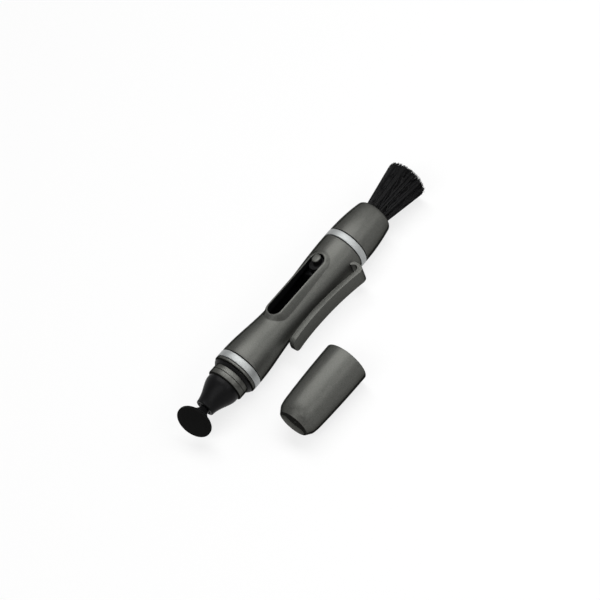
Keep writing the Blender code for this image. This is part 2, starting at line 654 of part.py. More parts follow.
def make_bristles(brush, mats):
    """Three-sided strands fanning out of one potted slice, one to each cell of a round lattice."""
    bm = bmesh.new()
    corner = max(
        bmesh.ops.create_circle(bm, cap_ends=True, cap_tris=True, segments=6, radius=1.0)["verts"],
        key=lambda v: v.co.y,
    )
    corner_turn = math.atan2(corner.co.y, corner.co.x)
    bmesh.ops.subdivide_edges(bm, edges=bm.edges[:], cuts=BRISTLE_ROWS - 1, use_grid_fill=True)
    for v in bm.verts:
        turn = math.atan2(v.co.y, v.co.x) - corner_turn
        off_flat = turn % (math.pi / 3) - math.pi / 6
        v.co *= math.cos(off_flat) / math.cos(math.pi / 6)
    bmesh.ops.scale(bm, vec=(TUFT_ROOT, TUFT_ROOT, 1), verts=bm.verts[:])
    cells = bm.faces[:]
    cell_size = TUFT_ROOT / BRISTLE_ROWS
    bmesh.ops.inset_individual(bm, faces=cells, thickness=BRISTLE_OPEN * cell_size, use_even_offset=True)
    strands = bmesh.ops.extrude_discrete_faces(bm, faces=cells)["faces"]
    draw = random.Random(BRISTLE_SEED)
    for strand in strands:
        middle = strand.calc_center_median()
        share = middle.length / TUFT_ROOT
        length = BRISTLE_LENGTH - BRISTLE_DOME * share**2 - BRISTLE_RAGGED * draw.random() ** 2
        spread_by = BRISTLE_FLARE / TUFT_ROOT * length / BRISTLE_LENGTH
        bmesh.ops.scale(
            bm, vec=(BRISTLE_SPLAY,) * 3, space=Matrix.Translation(-middle), verts=strand.verts[:]
        )
        bmesh.ops.translate(bm, vec=middle * spread_by + Vector((0, 0, length)), verts=strand.verts[:])
    rim = [e for e in bm.edges if e.is_boundary]
    sunk = [
        v
        for v in bmesh.ops.extrude_edge_only(bm, edges=rim)["geom"]
        if isinstance(v, bmesh.types.BMVert)
    ]
    bmesh.ops.translate(bm, vec=(0, 0, -BRISTLE_SLICE), verts=sunk)
    bmesh.ops.holes_fill(bm, edges=[e for e in bm.edges if e.is_boundary])
    bmesh.ops.rotate(bm, matrix=Matrix.Rotation(math.pi / 2, 3, "Y"), verts=bm.verts[:])
    bmesh.ops.translate(bm, vec=(FERRULE_END, 0, 0), verts=bm.verts[:])
    add_object("bristles", bm, brush, mats["hair"])


def cap_radius(run):
    """Outer radius of the cap at a distance from its closed end."""
    taper = CAP_TAPER * (1 - min(run / CAP_LENGTH, 1.0)) ** 2
    left = max(1 - run / CAP_ROUND_LENGTH, 0.0)
    return CAP_MOUTH_RADIUS - taper - CAP_ROUND_DEPTH * (1 - math.sqrt(1 - left**2))


def make_cap(cap, mats):
    """Thin shell with a dished end and a vent, and inside its closed end a cup with a foam pad."""
    end_wall = CAP_DISH_DEPTH + CAP_WALL
    rounded = [CAP_ROUND_LENGTH * share**2 for share in spread(0, 1, LONG_CURVE_POINTS)]
    runs = rounded + spread(CAP_ROUND_LENGTH, CAP_LENGTH - CAP_MOUTH_EDGE, SHORT_CURVE_POINTS)[1:]
    outside = [(x, cap_radius(x)) for x in runs]
    outside += [(CAP_LENGTH, CAP_MOUTH_RADIUS - CAP_MOUTH_EDGE)]
    depths = [end_wall] + spread(CAP_ROUND_LENGTH, CAP_LENGTH, LONG_CURVE_POINTS)
    inside = [(x, cap_radius(x) - CAP_WALL) for x in reversed(depths)]
    dish = cap_radius(0) - CAP_END_RIM
    hollow = [(end_wall, CAP_VENT_RADIUS)]
    for share in spread(0, 1, SHORT_CURVE_POINTS):
        reach = CAP_VENT_RADIUS + (dish - CAP_VENT_RADIUS) * share
        hollow.append((CAP_DISH_DEPTH * (1 - share**CAP_DISH_POWER), reach))
    turned("cap_shell", outside + inside + hollow, cap, mats["gunmetal"])

    cup_start = end_wall + SEAT_GAP
    cup_radius = cap_radius(end_wall) - CAP_WALL - SEAT_GAP
    floor = cup_start + CUP_WALL
    cup_end = cup_start + CUP_HEIGHT
    cup = [
        (cup_start, 0),
        (cup_start, cup_radius),
        (cup_end, cup_radius),
        (cup_end, cup_radius - CUP_WALL),
        (floor, cup_radius - CUP_WALL),
        (floor, 0),
    ]
    turned("carbon_cup", cup, cap, mats["black"], SMALL_STEPS, closed=False)
    foam = cup_radius - CUP_WALL - SEAT_GAP
    foam_end = cup_end + FOAM_PROUD
    pad = [
        (floor + SEAT_GAP, 0),
        (floor + SEAT_GAP, foam),
        (foam_end - PAD_EDGE, foam),
        (foam_end, foam - PAD_EDGE),
        (foam_end, 0),
    ]
    turned("carbon_pad", pad, cap, mats["foam"], SMALL_STEPS, closed=False)


def main():
    clear_scene()
    mats = make_finishes()
    pen = empty("pen_axis", (PEN_X, PEN_Y, RING_RADIUS))
    brush = empty("brush_slide_axis", (0, 0, 0), pen)
    pivot = empty("tip_pivot", (BALL_PLACE, 0, 0), pen)
    tilt_axis = Vector((0, math.cos(TILT_HEADING), math.sin(TILT_HEADING)))
    pivot.rotation_mode = "QUATERNION"
    pivot.rotation_quaternion = Matrix.Rotation(TILT, 3, tilt_axis).to_quaternion()
    hinge_place = (CLIP_ROOT_PLACE + CLIP_THICKNESS / 2, -barrel_radius(CLIP_ROOT_PLACE), 0)
    hinge = empty("clip_hinge", hinge_place, pen)
    cap_height = CAP_MOUTH_RADIUS - RING_RADIUS
    cap = empty("cap_axis", (CAP_PLACE - CAP_LENGTH, -CAP_ASIDE, cap_height), pen)

    make_barrel(pen, mats)
    make_rings(pen, mats)
    make_clip(hinge, mats)
    make_shroud(pen, mats)
    make_nose(pen, mats)
    make_tip(pivot, mats)
    make_slide(brush, mats)
    make_ferrule(brush, mats)
    make_bristles(brush, mats)
    make_cap(cap, mats)
    bpy.context.view_layer.update()


if __name__ == "__main__":
    main()
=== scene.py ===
"""Looks of a lens cleaning pen: turned and painted pieces, a brush of single hairs and a pale studio.

The pen lies along X. Stations are counted in metres from the tip end of its barrel, and a turned
profile is a list of (station, radius) points, each with an optional rounding of its corner.
"""

import json
import math
import random
from collections import defaultdict

import bmesh
import bpy
from bpy.props import FloatProperty, FloatVectorProperty, IntProperty, PointerProperty
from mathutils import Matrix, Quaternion, Vector
from mathutils.geometry import interpolate_bezier


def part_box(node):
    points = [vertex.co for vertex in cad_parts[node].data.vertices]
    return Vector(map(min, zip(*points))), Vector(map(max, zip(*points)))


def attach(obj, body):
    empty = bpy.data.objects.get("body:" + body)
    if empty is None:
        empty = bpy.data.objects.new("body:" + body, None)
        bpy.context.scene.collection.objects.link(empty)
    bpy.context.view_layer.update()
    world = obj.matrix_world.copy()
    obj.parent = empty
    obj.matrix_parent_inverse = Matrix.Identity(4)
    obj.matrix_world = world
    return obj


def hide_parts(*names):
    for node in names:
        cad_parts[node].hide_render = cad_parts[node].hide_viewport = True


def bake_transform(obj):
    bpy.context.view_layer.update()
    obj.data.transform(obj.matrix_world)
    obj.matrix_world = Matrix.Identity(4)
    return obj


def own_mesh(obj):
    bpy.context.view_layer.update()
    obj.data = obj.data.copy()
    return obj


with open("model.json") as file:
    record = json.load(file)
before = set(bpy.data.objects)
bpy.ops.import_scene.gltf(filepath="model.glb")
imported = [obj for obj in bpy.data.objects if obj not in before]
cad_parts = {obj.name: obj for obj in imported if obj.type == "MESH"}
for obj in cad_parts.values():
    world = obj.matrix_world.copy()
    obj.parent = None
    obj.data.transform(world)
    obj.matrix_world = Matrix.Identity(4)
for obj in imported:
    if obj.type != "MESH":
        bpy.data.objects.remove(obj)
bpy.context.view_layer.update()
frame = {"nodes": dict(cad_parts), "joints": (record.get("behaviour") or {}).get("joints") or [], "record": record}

bl_info = {
    "name": "Lens cleaning pen",
    "version": (1, 0, 0),
    "blender": (4, 5, 0),
    "location": "3D View > Sidebar > Lens pen",
    "description": "Makes the finished pieces of a lens cleaning pen and the stage under them",
    "category": "Add Mesh",
}

MM = 0.001
JOINTS = {joint["name"]: joint for joint in frame["joints"]}
MOUNTS = {mount["name"]: mount for mount in frame["record"]["mounts"]}


def middle(node):
    low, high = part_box(node)
    return (low + high) / 2


def radius_of(node):
    low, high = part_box(node)
    return (high.y - low.y) / 2


# Places and sizes that the frame gives
PEN = Vector((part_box("barrel_tube")[0].x, middle("front_trim_ring").y, middle("front_trim_ring").z))
CAP = Vector((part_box("cap_shell")[0].x, middle("cap_shell").y, middle("cap_shell").z))
BALL = Vector(JOINTS["tip_tilt"]["pos_m"])
HEADING = Vector(MOUNTS["cleaning_face"]["axis"]).normalized()
TIP_LENGTH = (Vector(MOUNTS["cleaning_face"]["pos_m"]) - BALL).dot(HEADING)


def span(node, start=PEN):
    """Where a node begins and ends along X, from a starting point."""
    low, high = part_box(node)
    return low.x - start.x, high.x - start.x


BARREL_LENGTH = span("barrel_tube")[1]
FRONT_RING = span("front_trim_ring")
REAR_RING = span("rear_trim_ring")
SHROUD = span("brush_shroud")
COLLAR = span("nose_collar")
SEAL = span("cap_seal_ring")
NOZZLE = span("nozzle_cone")
SLIDE = span("brush_carriage")
FERRULE = span("brush_ferrule")
TUFT_END = span("bristles")[1]
CAP_LENGTH = span("cap_shell", CAP)[1]
CUP = span("carbon_cup", CAP)
FOAM = span("carbon_pad", CAP)
RING_RADIUS = radius_of("front_trim_ring")
BARREL_RADIUS = radius_of("nose_collar")
SLIDE_RADIUS = radius_of("brush_carriage")
FERRULE_RADIUS = radius_of("brush_ferrule")
CAP_RADIUS = radius_of("cap_shell")
CUP_RADIUS = radius_of("carbon_cup")
FOAM_RADIUS = radius_of("carbon_pad")
SEAT_GAP = 0.3 * MM  # between CAD pieces that seat on each other
FINE_GAP = 0.1 * MM  # the same joint where the finished pieces show it

# Facets
STEPS = 96
ROUND_STEPS = 4
ROUND_PROFILE = 0.5  # a rounding that is part of a circle
CURVE_POINTS = 28
MERGE_DISTANCE = 0.0001 * MM
SMOOTH_ANGLE = math.radians(38)


def length(name, description, value):
    """A length in millimetres as a property."""
    return FloatProperty(
        name=name, description=description, default=value * MM, min=0.0, unit="LENGTH", precision=5
    )


def share(name, description, value):
    return FloatProperty(name=name, description=description, default=value, min=0.0, subtype="FACTOR")


def turn(name, description, degrees):
    return FloatProperty(
        name=name, description=description, default=math.radians(degrees), subtype="ANGLE", unit="ROTATION"
    )


def colour(name, description, value):
    return FloatVectorProperty(
        name=name, description=description, default=value, size=3, min=0.0, max=1.0, subtype="COLOR"
    )


class BarrelSizes(bpy.types.PropertyGroup):
    waist_depth: length("Waist depth", "How far the barrel draws in at its waist", 1.6)
    waist_share: share("Waist place", "Where the waist lies along the barrel", 0.4)
    wall: length("Wall", "Thickness of the barrel's wall", 1.25)
    slot_length: length("Slot length", "Length of the slider's slot", 26.8)
    slot_width: length("Slot width", "Width of the slider's slot", 5.2)
    slot_set_back: length("Slot set-back", "From the slot's rear end to the barrel's", 8.0)
    rim_lip: length("Rim lip", "Width of the flat lip round the slot", 0.45)
    rim_rise: length("Rim rise", "Height of the lip over the waist", 1.2)
    rim_bead: length("Rim bead", "Least height of the lip over the barrel", 0.28)
    rim_flank: length("Rim flank", "How far the lip's flank runs out into the barrel", 1.35)
    rim_round: length("Rim rounding", "Rounding of the lip's edges", 0.15)


class ClipSizes(bpy.types.PropertyGroup):
    width: length("Width", "Width of the clip", 5.4)
    thickness: length("Thickness", "Thickness of the clip's arm", 2.0)
    thinning: length("Thinning", "How much thinner the arm is where it bends", 0.25)
    set_back: length("Set-back", "From the clip's rear end to the barrel's", 2.4)
    bend_length: length("Bend length", "From the rear end to where the arm begins to bend", 3.4)
    bend_wall: length("Bend wall", "Thickness of the clip behind the gap under its arm", 1.12)
    bow: length("Bow place", "From the rear end to where the arm is nearest to the barrel", 24.0)
    bow_gap: length("Bow gap", "Gap between arm and barrel at that place", 2.0)
    bow_radius: length("Bow radius", "Radius of the arm's bow", 89.0)
    reach: length("Reach", "From the rear end to the clip's tip", 35.9)
    straight: length("Straight end", "Straight length of the arm's free end", 4.5)
    tip_round: length("Tip rounding", "Rounding of the tip's two corners", 2.0)
    edge_round: length("Edge rounding", "Rounding of the clip's long edges", 0.3)


class NoseSizes(bpy.types.PropertyGroup):
    flange_width: length("Flange width", "Width of the collar's flange", 0.7)
    spigot_step: length("Spigot step", "Spigot radius under the ring's radius", 1.45)
    spigot_line: length("Spigot line", "Depth of the fine line round the spigot", 0.25)
    seal_proud: length("Seal height", "Height of the seal over the spigot, at its small end", 0.35)
    nozzle_step: length("Nozzle step", "Nozzle radius under the spigot's radius", 0.65)
    nozzle_land: length("Nozzle land", "Straight length at the nozzle's big end", 1.2)
    nozzle_fall: share("Nozzle fall", "Under 1 draws the bell's curve towards its big end", 0.87)
    mouth_radius: length("Mouth radius", "Radius of the nozzle's mouth round the ball", 2.43)
    lip_wall: length("Lip wall", "Wall of the nozzle at its mouth", 0.85)
    lip_round: length("Lip rounding", "Rounding of the nozzle's mouth", 0.35)


class TipSizes(bpy.types.PropertyGroup):
    ball_radius: length("Ball radius", "Radius of the swivel ball", 2.5)
    neck_radius: length("Neck radius", "Radius of the neck behind the disc", 1.496)
    neck_length: length("Neck length", "From the ball's middle to where the neck flares", 2.2)
    pad_radius: length("Pad radius", "Radius of the cleaning pad", 6.1)
    pad_thickness: length("Pad thickness", "Thickness of the cleaning pad", 0.6)
    disc_edge: length("Disc edge", "Thickness of the disc under the pad", 0.4)
    flare_power: share("Flare", "Over 1 draws the trumpet's curve towards the disc", 1.6)


class BrushSizes(bpy.types.PropertyGroup):
    rows: IntProperty(name="Rows", description="Hairs number six times its square", default=26, min=2)
    root: length("Root radius", "Radius of the tuft in its ferrule", 2.9)
    flare: length("Flare", "How far the tuft widens over its free length", 4.45)
    dome: length("Dome", "How much shorter the outer hairs are", 0.5)
    ragged: length("Ragged", "How much the hairs differ in length", 0.9)
    wander: length("Wander", "How far a hair's end strays from its straight line", 0.4)
    hair_width: length("Hair width", "Width of a hair at its thickest", 0.22)
    squeeze: share("Squeeze", "Part of its spread that the tuft keeps inside the shroud", 0.6)


class CapSizes(bpy.types.PropertyGroup):
    wall: length("Wall", "Thickness of the cap's wall", 0.7)
    taper: length("Taper", "How much narrower the closed end is", 1.0)
    round_length: length("Round length", "Length of the rounded end", 5.0)
    round_depth: length("Round depth", "How far the rounded end draws in", 1.4)
    bevel: length("Bevel", "Length of the bevel at the closed end", 1.9)
    end_rim: length("End rim", "Width of the rim round the dished end", 0.4)
    dish_depth: length("Dish depth", "Depth of the dished end", 0.85)
    dish_power: share("Dish wall", "Over 1 steepens the dish's wall", 4.0)
    vent_radius: length("Vent radius", "Radius of the vent in the dished end", 0.65)
    cup_wall: length("Cup wall", "Wall of the carbon cup", 0.6)


class Colours(bpy.types.PropertyGroup):
    gunmetal: colour("Gunmetal", "Metallic paint of the barrel, clip and cap", (0.098, 0.099, 0.0915))
    worn: colour("Worn edge", "Where handling has polished the paint's edges", (0.125, 0.1265, 0.119))
    silver: colour("Silver", "Satin plating of the trim rings", (0.36, 0.373, 0.371))
    # The barrel's inside in black is partly painted shade on the slot's walls.
    black: colour("Black plastic", "Slide, cup and the barrel's inside", (0.005, 0.005, 0.0054))
    rubber: colour("Black rubber", "Nozzle, seal and swivelling stem", (0.006, 0.006, 0.0064))
    chamois: colour("Chamois", "Cleaning pad", (0.0045, 0.0045, 0.0043))
    hair: colour("Hair", "Brush", (0.011, 0.011, 0.0115))
    nickel: colour("Nickel", "Brush ferrule", (0.5, 0.5, 0.48))
    foam: colour("Carbon foam", "Pad in the cap", (0.02, 0.02, 0.02))
    floor: colour("Floor", "Pale floor", (0.95, 0.95, 0.95))


class StageSettings(bpy.types.PropertyGroup):
    azimuth: turn("Camera azimuth", "Heading of the camera from the pen, from +X towards +Y", -121.245)
    elevation: turn("Camera elevation", "Height of the camera over the floor", 49.224)
    roll: turn("Camera roll", "Turn of the picture", -23.929)
    distance: length("Camera distance", "From the camera to the point it looks at", 580.6)
    aim: FloatVectorProperty(
        name="Aim",
        description="Point that the camera looks at, from the tip end of the barrel's axis",
        default=(30.04 * MM, 0.2 * MM, -0.28 * MM),
        size=3,
        subtype="TRANSLATION",
        precision=5,
    )
    lens: FloatProperty(
        name="Lens",
        description="Focal length in millimetres on a 36 mm sensor",
        default=106.93,
        unit="CAMERA",
    )
    key: share("Key light", "Light of the main lamp on a surface that faces it", 0.82)
    side: share("Side light", "Light of the side lamp on a surface that faces it", 0.30)
    front: share("Front light", "Light of the lamp at the tip end on a surface that faces it", 0.35)
    ambient: share("Ambient level", "Light of the surroundings", 0.07)


class LensPen(bpy.types.PropertyGroup):
    barrel: PointerProperty(type=BarrelSizes)
    clip: PointerProperty(type=ClipSizes)
    nose: PointerProperty(type=NoseSizes)
    tip: PointerProperty(type=TipSizes)
    brush: PointerProperty(type=BrushSizes)
    cap: PointerProperty(type=CapSizes)
    colours: PointerProperty(type=Colours)
    stage: PointerProperty(type=StageSettings)


# Finishes

BROAD_GRAIN = 0.15  # smudges to a millimetre
BROAD_DETAIL = 2.0
BROAD_PART = 0.35  # part of the tone that smudges make
FLAKE_PART = 0.45  # part of the tone and relief that flakes or pores make
TONE_RANGE = (0.25, 0.75)  # grain values with the darkest and the lightest tone
ROUGH_RANGE = (0.3, 0.7)  # grain values with the least and the most roughness


def add_node(tree, kind, inputs, **settings):
    """Adds a node whose inputs are values, or outputs of other nodes to link."""
    made = tree.nodes.new(kind)
    for key, value in settings.items():
        setattr(made, key, value)
    for key, value in inputs.items():
        if isinstance(value, bpy.types.NodeSocket):
            tree.links.new(value, made.inputs[key])
        else:
            made.inputs[key].default_value = value
    return made


def pattern(tree, per_mm, detail=3.0):
    """Noise on the piece's own coordinates, with so many bumps to a millimetre along X, Y and Z."""
    where = add_node(tree, "ShaderNodeTexCoord", {})
    scaled = add_node(
        tree, "ShaderNodeMapping", {"Vector": where.outputs["Object"], "Scale": [n / MM for n in per_mm]}
    )
    noise = add_node(
        tree, "ShaderNodeTexNoise", {"Vector": scaled.outputs["Vector"], "Scale": 1.0, "Detail": detail}
    )
    return noise.outputs["Fac"]


def cells(tree, per_mm):
    """A random value for each flake or pore, and the distance to its middle."""
    where = add_node(tree, "ShaderNodeTexCoord", {})
    flakes = add_node(
        tree, "ShaderNodeTexVoronoi", {"Vector": where.outputs["Object"], "Scale": per_mm / MM}
    )
    split = add_node(tree, "ShaderNodeSeparateColor", {"Color": flakes.outputs["Color"]})
    return split.outputs["Red"], flakes.outputs["Distance"]


def calculate(tree, operation, first, second):
    return add_node(tree, "ShaderNodeMath", {0: first, 1: second}, operation=operation).outputs[0]


def blend_values(tree, first, second, part):
    mixed = add_node(tree, "ShaderNodeMix", {0: part, 2: first, 3: second}, data_type="FLOAT")
    return mixed.outputs[0]


def tones(tree, factor, base, contrast):
    """Colours from darker to lighter than the base, by a factor that swings about one half."""
    ramp = add_node(tree, "ShaderNodeValToRGB", {"Fac": factor})
    dark, light = ramp.color_ramp.elements
    dark.position, light.position = TONE_RANGE
    dark.color = [c * (1 - contrast) for c in base] + [1.0]
    light.color = [c * (1 + contrast) for c in base] + [1.0]
    return ramp.outputs["Color"]


def map_range(tree, value, given, wanted):
    """Maps a value from a given range to a wanted one."""
    ranges = {"From Min": given[0], "From Max": given[1], "To Min": wanted[0], "To Max": wanted[1]}
    made = add_node(tree, "ShaderNodeMapRange", {"Value": value, **ranges})
    return made.outputs["Result"]


def worn_edges(tree, paint, worn, factor):
    """Paint that thins to a lighter tone along the edges that hands polish."""
    edge = add_node(tree, "ShaderNodeAttribute", {}, attribute_name="edge_wear")
    patchy = calculate(tree, "MULTIPLY", edge.outputs["Fac"], factor)
    mixed = add_node(tree, "ShaderNodeMix", {0: patchy, 6: paint, 7: [*worn, 1.0]}, data_type="RGBA")
    return mixed.outputs[2]


def finish(name, base, grain, contrast, roughness, bump, flakes=None, worn=None, **constants):
    """A procedural finish whose tone, roughness and relief follow its grain and broad soft smudges.

    The base and any worn edge are names of colours, the bump is its strength and its depth in millimetres,
    and the constants are inputs of the shader.
    """
    mat = bpy.data.materials.get(name)
    if mat:
        return mat
    colours = bpy.context.scene.lens_pen.colours
    mat = bpy.data.materials.new(name)
    mat.use_nodes = True
    tree = mat.node_tree
    shader = tree.nodes["Principled BSDF"]
    for key, value in constants.items():
        shader.inputs[key.replace("_", " ").title().replace("Ior", "IOR")].default_value = value
    fine = pattern(tree, grain)
    broad = pattern(tree, (BROAD_GRAIN,) * 3, BROAD_DETAIL)
    height = fine
    tone = blend_values(tree, fine, broad, BROAD_PART)
    if flakes:
        flake, centre = cells(tree, flakes)
        tone = blend_values(tree, tone, flake, FLAKE_PART)
        height = blend_values(tree, fine, centre, FLAKE_PART)
    paint = tones(tree, tone, getattr(colours, base), contrast)
    if worn:
        paint = worn_edges(tree, paint, getattr(colours, worn), fine)
    strength, depth = bump
    relief = add_node(
        tree, "ShaderNodeBump", {"Height": height, "Strength": strength, "Distance": depth * MM}
    )
    tree.links.new(paint, shader.inputs["Base Color"])
    tree.links.new(map_range(tree, tone, ROUGH_RANGE, roughness), shader.inputs["Roughness"])
    tree.links.new(relief.outputs["Normal"], shader.inputs["Normal"])
    return mat


def gunmetal():
    """Metallic paint: fine flakes, a soft orange-peel and polished edges."""
    return finish(
        "gunmetal_paint",
        "gunmetal",
        grain=(3.0, 3.0, 3.0),
        contrast=0.22,
        roughness=(0.38, 0.50),
        bump=(0.10, 0.03),
        flakes=7.0,
        worn="worn",
        metallic=0.7,
        specular_ior_level=0.0,
        specular_tint=(0.0, 0.0, 0.0, 1.0),
    )


def silver():
    """Satin plating with turning marks that run round the ring."""
    return finish(
        "satin_silver",
        "silver",
        grain=(14.0, 0.25, 0.25),
        contrast=0.22,
        roughness=(0.44, 0.62),
        bump=(0.15, 0.01),
        metallic=0.85,
    )


def nickel():
    """Drawn tube with fine marks round it."""
    return finish(
        "nickel_tube",
        "nickel",
        grain=(9.0, 0.3, 0.3),
        contrast=0.12,
        roughness=(0.25, 0.42),
        bump=(0.12, 0.01),
        metallic=1.0,
    )


def black():
    """Moulded plastic with a fine spark-eroded grain."""
    return finish(
        "black_plastic",
        "black",
        grain=(6.0, 6.0, 6.0),
        contrast=0.3,
        roughness=(0.38, 0.55),
        bump=(0.12, 0.02),
        specular_ior_level=0.08,
    )


def rubber():
    """Soft-touch rubber, matt with faint shiny patches."""
    return finish(
        "black_rubber",
        "rubber",
        grain=(4.0, 4.0, 4.0),
        contrast=0.35,
        roughness=(0.34, 0.46),
        bump=(0.10, 0.02),
        specular_ior_level=0.08,
    )


def chamois():
    """Napped hide: short fibres that catch a little sheen."""
    return finish(
        "black_chamois",
        "chamois",
        grain=(7.0, 7.0, 7.0),
        contrast=0.5,
        roughness=(0.85, 1.0),
        bump=(0.5, 0.06),
        specular_ior_level=0.1,
        sheen_weight=0.02,
    )


def hair():
    """Glossy black hair, streaked along its length."""
    return finish(
        "black_hair",
        "hair",
        grain=(0.2, 6.0, 6.0),
        contrast=0.7,
        roughness=(0.35, 0.58),
        bump=(0.1, 0.01),
        specular_ior_level=0.08,
    )


def foam():
    """Open-cell foam full of carbon powder."""
    return finish(
        "carbon_foam",
        "foam",
        grain=(2.5, 2.5, 2.5),
        contrast=0.6,
        roughness=(0.85, 1.0),
        bump=(0.8, 0.15),
        flakes=3.0,
        specular_ior_level=0.2,
    )


# Mesh helpers


def spread(start, end, count):
    """Evenly spaced values, both ends included."""
    return [start + (end - start) * i / (count - 1) for i in range(count)]


def smoothstep(part):
    part = min(max(part, 0.0), 1.0)
    return part * part * (3 - 2 * part)


def turned(profile, centre, closed=True, steps=STEPS):
    """A shape turned round X. Points are (station, radius) or (station, radius, corner rounding)."""
    bm = bmesh.new()
    verts = [bm.verts.new(centre + Vector((point[0], 0, point[1]))) for point in profile]
    following = verts[1:] + verts[:1] if closed else verts[1:]
    for pair in zip(verts, following):
        bm.edges.new(pair)
    corners = defaultdict(list)
    for vert, point in zip(verts, profile):
        if len(point) > 2:
            corners[point[2]].append(vert)
    for rounding, rounded in corners.items():
        bmesh.ops.bevel(
            bm,
            geom=rounded,
            offset=rounding,
            offset_type="OFFSET",
            segments=ROUND_STEPS,
            profile=ROUND_PROFILE,
            affect="VERTICES",
            material=-1,
        )
    bmesh.ops.spin(
        bm,
        geom=bm.verts[:] + bm.edges[:],
        cent=centre,
        axis=(1, 0, 0),
        angle=math.tau,
        steps=steps,
        use_merge=True,
    )
    bmesh.ops.remove_doubles(bm, verts=bm.verts[:], dist=MERGE_DISTANCE)
    return bm


WEAR_START = math.radians(9)
WEAR_FULL = math.radians(28)


def mark_wear(mesh):
    """Stores how sharply each point bulges, which the paint reads as wear."""
    bm = bmesh.new()
    bm.from_mesh(mesh)
    wear = []
    for vert in bm.verts:
        bulges = [e.calc_face_angle_signed(0.0) for e in vert.link_edges if e.is_manifold]
        sharpest = max(bulges, default=0.0)
        wear.append(min(max((sharpest - WEAR_START) / (WEAR_FULL - WEAR_START), 0.0), 1.0))
    bm.free()
    mesh.attributes.new("edge_wear", "FLOAT", "POINT").data.foreach_set("value", wear)


def make_object(name, bm):
    """An object at the origin from a bmesh, with its faces turned outwards."""
    bmesh.ops.recalc_face_normals(bm, faces=bm.faces[:])
    mesh = bpy.data.meshes.new(name)
    bm.to_mesh(mesh)
    bm.free()
    obj = bpy.data.objects.new(name, mesh)
    bpy.context.scene.collection.objects.link(obj)
    return obj


def dress(obj, slot, *mats):
    """Shades a piece and gives it its finish."""
    obj.data.shade_smooth()
    obj.data.set_sharp_from_angle(angle=SMOOTH_ANGLE)
    mark_wear(obj.data)
    for mat in mats:
        obj.data.materials.append(mat)
    return obj


def add_piece(name, bm, body, slot, mat, *nodes):
    """A finished piece that rides on a body and stands for CAD nodes."""
    obj = dress(make_object(name, bm), slot, mat)
    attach(obj, body)
    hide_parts(*nodes)
    return obj


def cut(obj, *cutters):
    """Takes the cutters out of a piece, leaving a plain mesh."""
    for cutter in cutters:
        modifier = obj.modifiers.new(cutter.name, "BOOLEAN")
        modifier.operation = "DIFFERENCE"
        modifier.solver = "EXACT"
        modifier.object = cutter
    graph = bpy.context.evaluated_depsgraph_get()
    whole = obj.data
    obj.data = bpy.data.meshes.new_from_object(obj.evaluated_get(graph))
    obj.data.name = obj.name
    obj.modifiers.clear()
    bpy.data.meshes.remove(whole)
    for cutter in cutters:
        bpy.data.meshes.remove(cutter.data)


def extrude(bm, faces, direction):
    grown = bmesh.ops.extrude_face_region(bm, geom=faces)["geom"]
    bmesh.ops.translate(bm, vec=direction, verts=[g for g in grown if isinstance(g, bmesh.types.BMVert)])


def prism(outline, direction):
    """A face from an outline, extruded along a direction."""
    bm = bmesh.new()
    face = bm.faces.new([bm.verts.new(point) for point in outline])
    extrude(bm, [face], direction)
    return bm


def racetrack(middle_point, run, width, height, segments):
    """A round-ended block along X, standing on its middle point."""
    bm = bmesh.new()
    bmesh.ops.create_circle(bm, cap_ends=True, segments=segments, radius=width / 2)
    for vert in bm.verts:
        if abs(vert.co.x) > MERGE_DISTANCE:
            vert.co.x += math.copysign((run - width) / 2, vert.co.x)
    bmesh.ops.translate(bm, vec=middle_point, verts=bm.verts[:])
    extrude(bm, bm.faces[:], (0, 0, height))
    return bm


def round_edges(bm, edges, rounding, segments=ROUND_STEPS, clamp=False):
    """Rounds edges that the shape must have. Clamping keeps the rounding off its neighbours."""
    if not edges:
        raise RuntimeError("there is no edge to round")
    bmesh.ops.bevel(
        bm,
        geom=edges,
        offset=rounding,
        offset_type="OFFSET",
        segments=segments,
        profile=ROUND_PROFILE,
        affect="EDGES",
        clamp_overlap=clamp,
        material=-1,
    )


def top_edges(bm, height):
    return [e for e in bm.edges if all(v.co.z > height - MERGE_DISTANCE for v in e.verts)]


# Barrel

BARREL_STEPS = 168
TOP_STEPS = 52  # lengthwise lines on each side of the slot's middle
TOP_HALF_WIDTH = 5.2 * MM  # how far those lines reach out
FINE_STEP = 0.14 * MM
COARSE_STEP = 1.0 * MM
SLOT_SEGMENTS = 128
FLANK_POWER = 1.1
BARREL_EDGE = 0.15 * MM
BORE_LEAN = 0.5  # a face that looks further along the pen is an end of the barrel
WALL_LEAN = 0.3  # a face that looks further up is part of the rim
WALL_REACH = 0.25  # how near to the slot's outline its wall lies, as a part of the rim's rounding


def waist_place(sizes):
    return sizes.waist_share * BARREL_LENGTH


def barrel_radius(x, sizes):
    """Outer radius of the waisted barrel at a station."""
    waist = waist_place(sizes)
    reach = waist if x < waist else BARREL_LENGTH - waist
    return BARREL_RADIUS - sizes.waist_depth * (1 - smoothstep(abs(x - waist) / reach))


def bore_radius(x, sizes):
    return barrel_radius(x, sizes) - sizes.wall


def slot_middle(sizes):
    return BARREL_LENGTH - sizes.slot_set_back - sizes.slot_length / 2


def barrel_stations(sizes):
    """Stations along the outside, close together along the slot and its rim."""
    half = sizes.slot_length / 2 + sizes.rim_lip + sizes.rim_flank
    front, rear = slot_middle(sizes) - half, slot_middle(sizes) + half
    stations = []
    for start, end, step in (
        (0.0, front, COARSE_STEP),
        (front, rear, FINE_STEP),
        (rear, BARREL_LENGTH, COARSE_STEP),
    ):
        stations += spread(start, end, math.ceil((end - start) / step) + 1)[:-1]
    return stations + [BARREL_LENGTH]


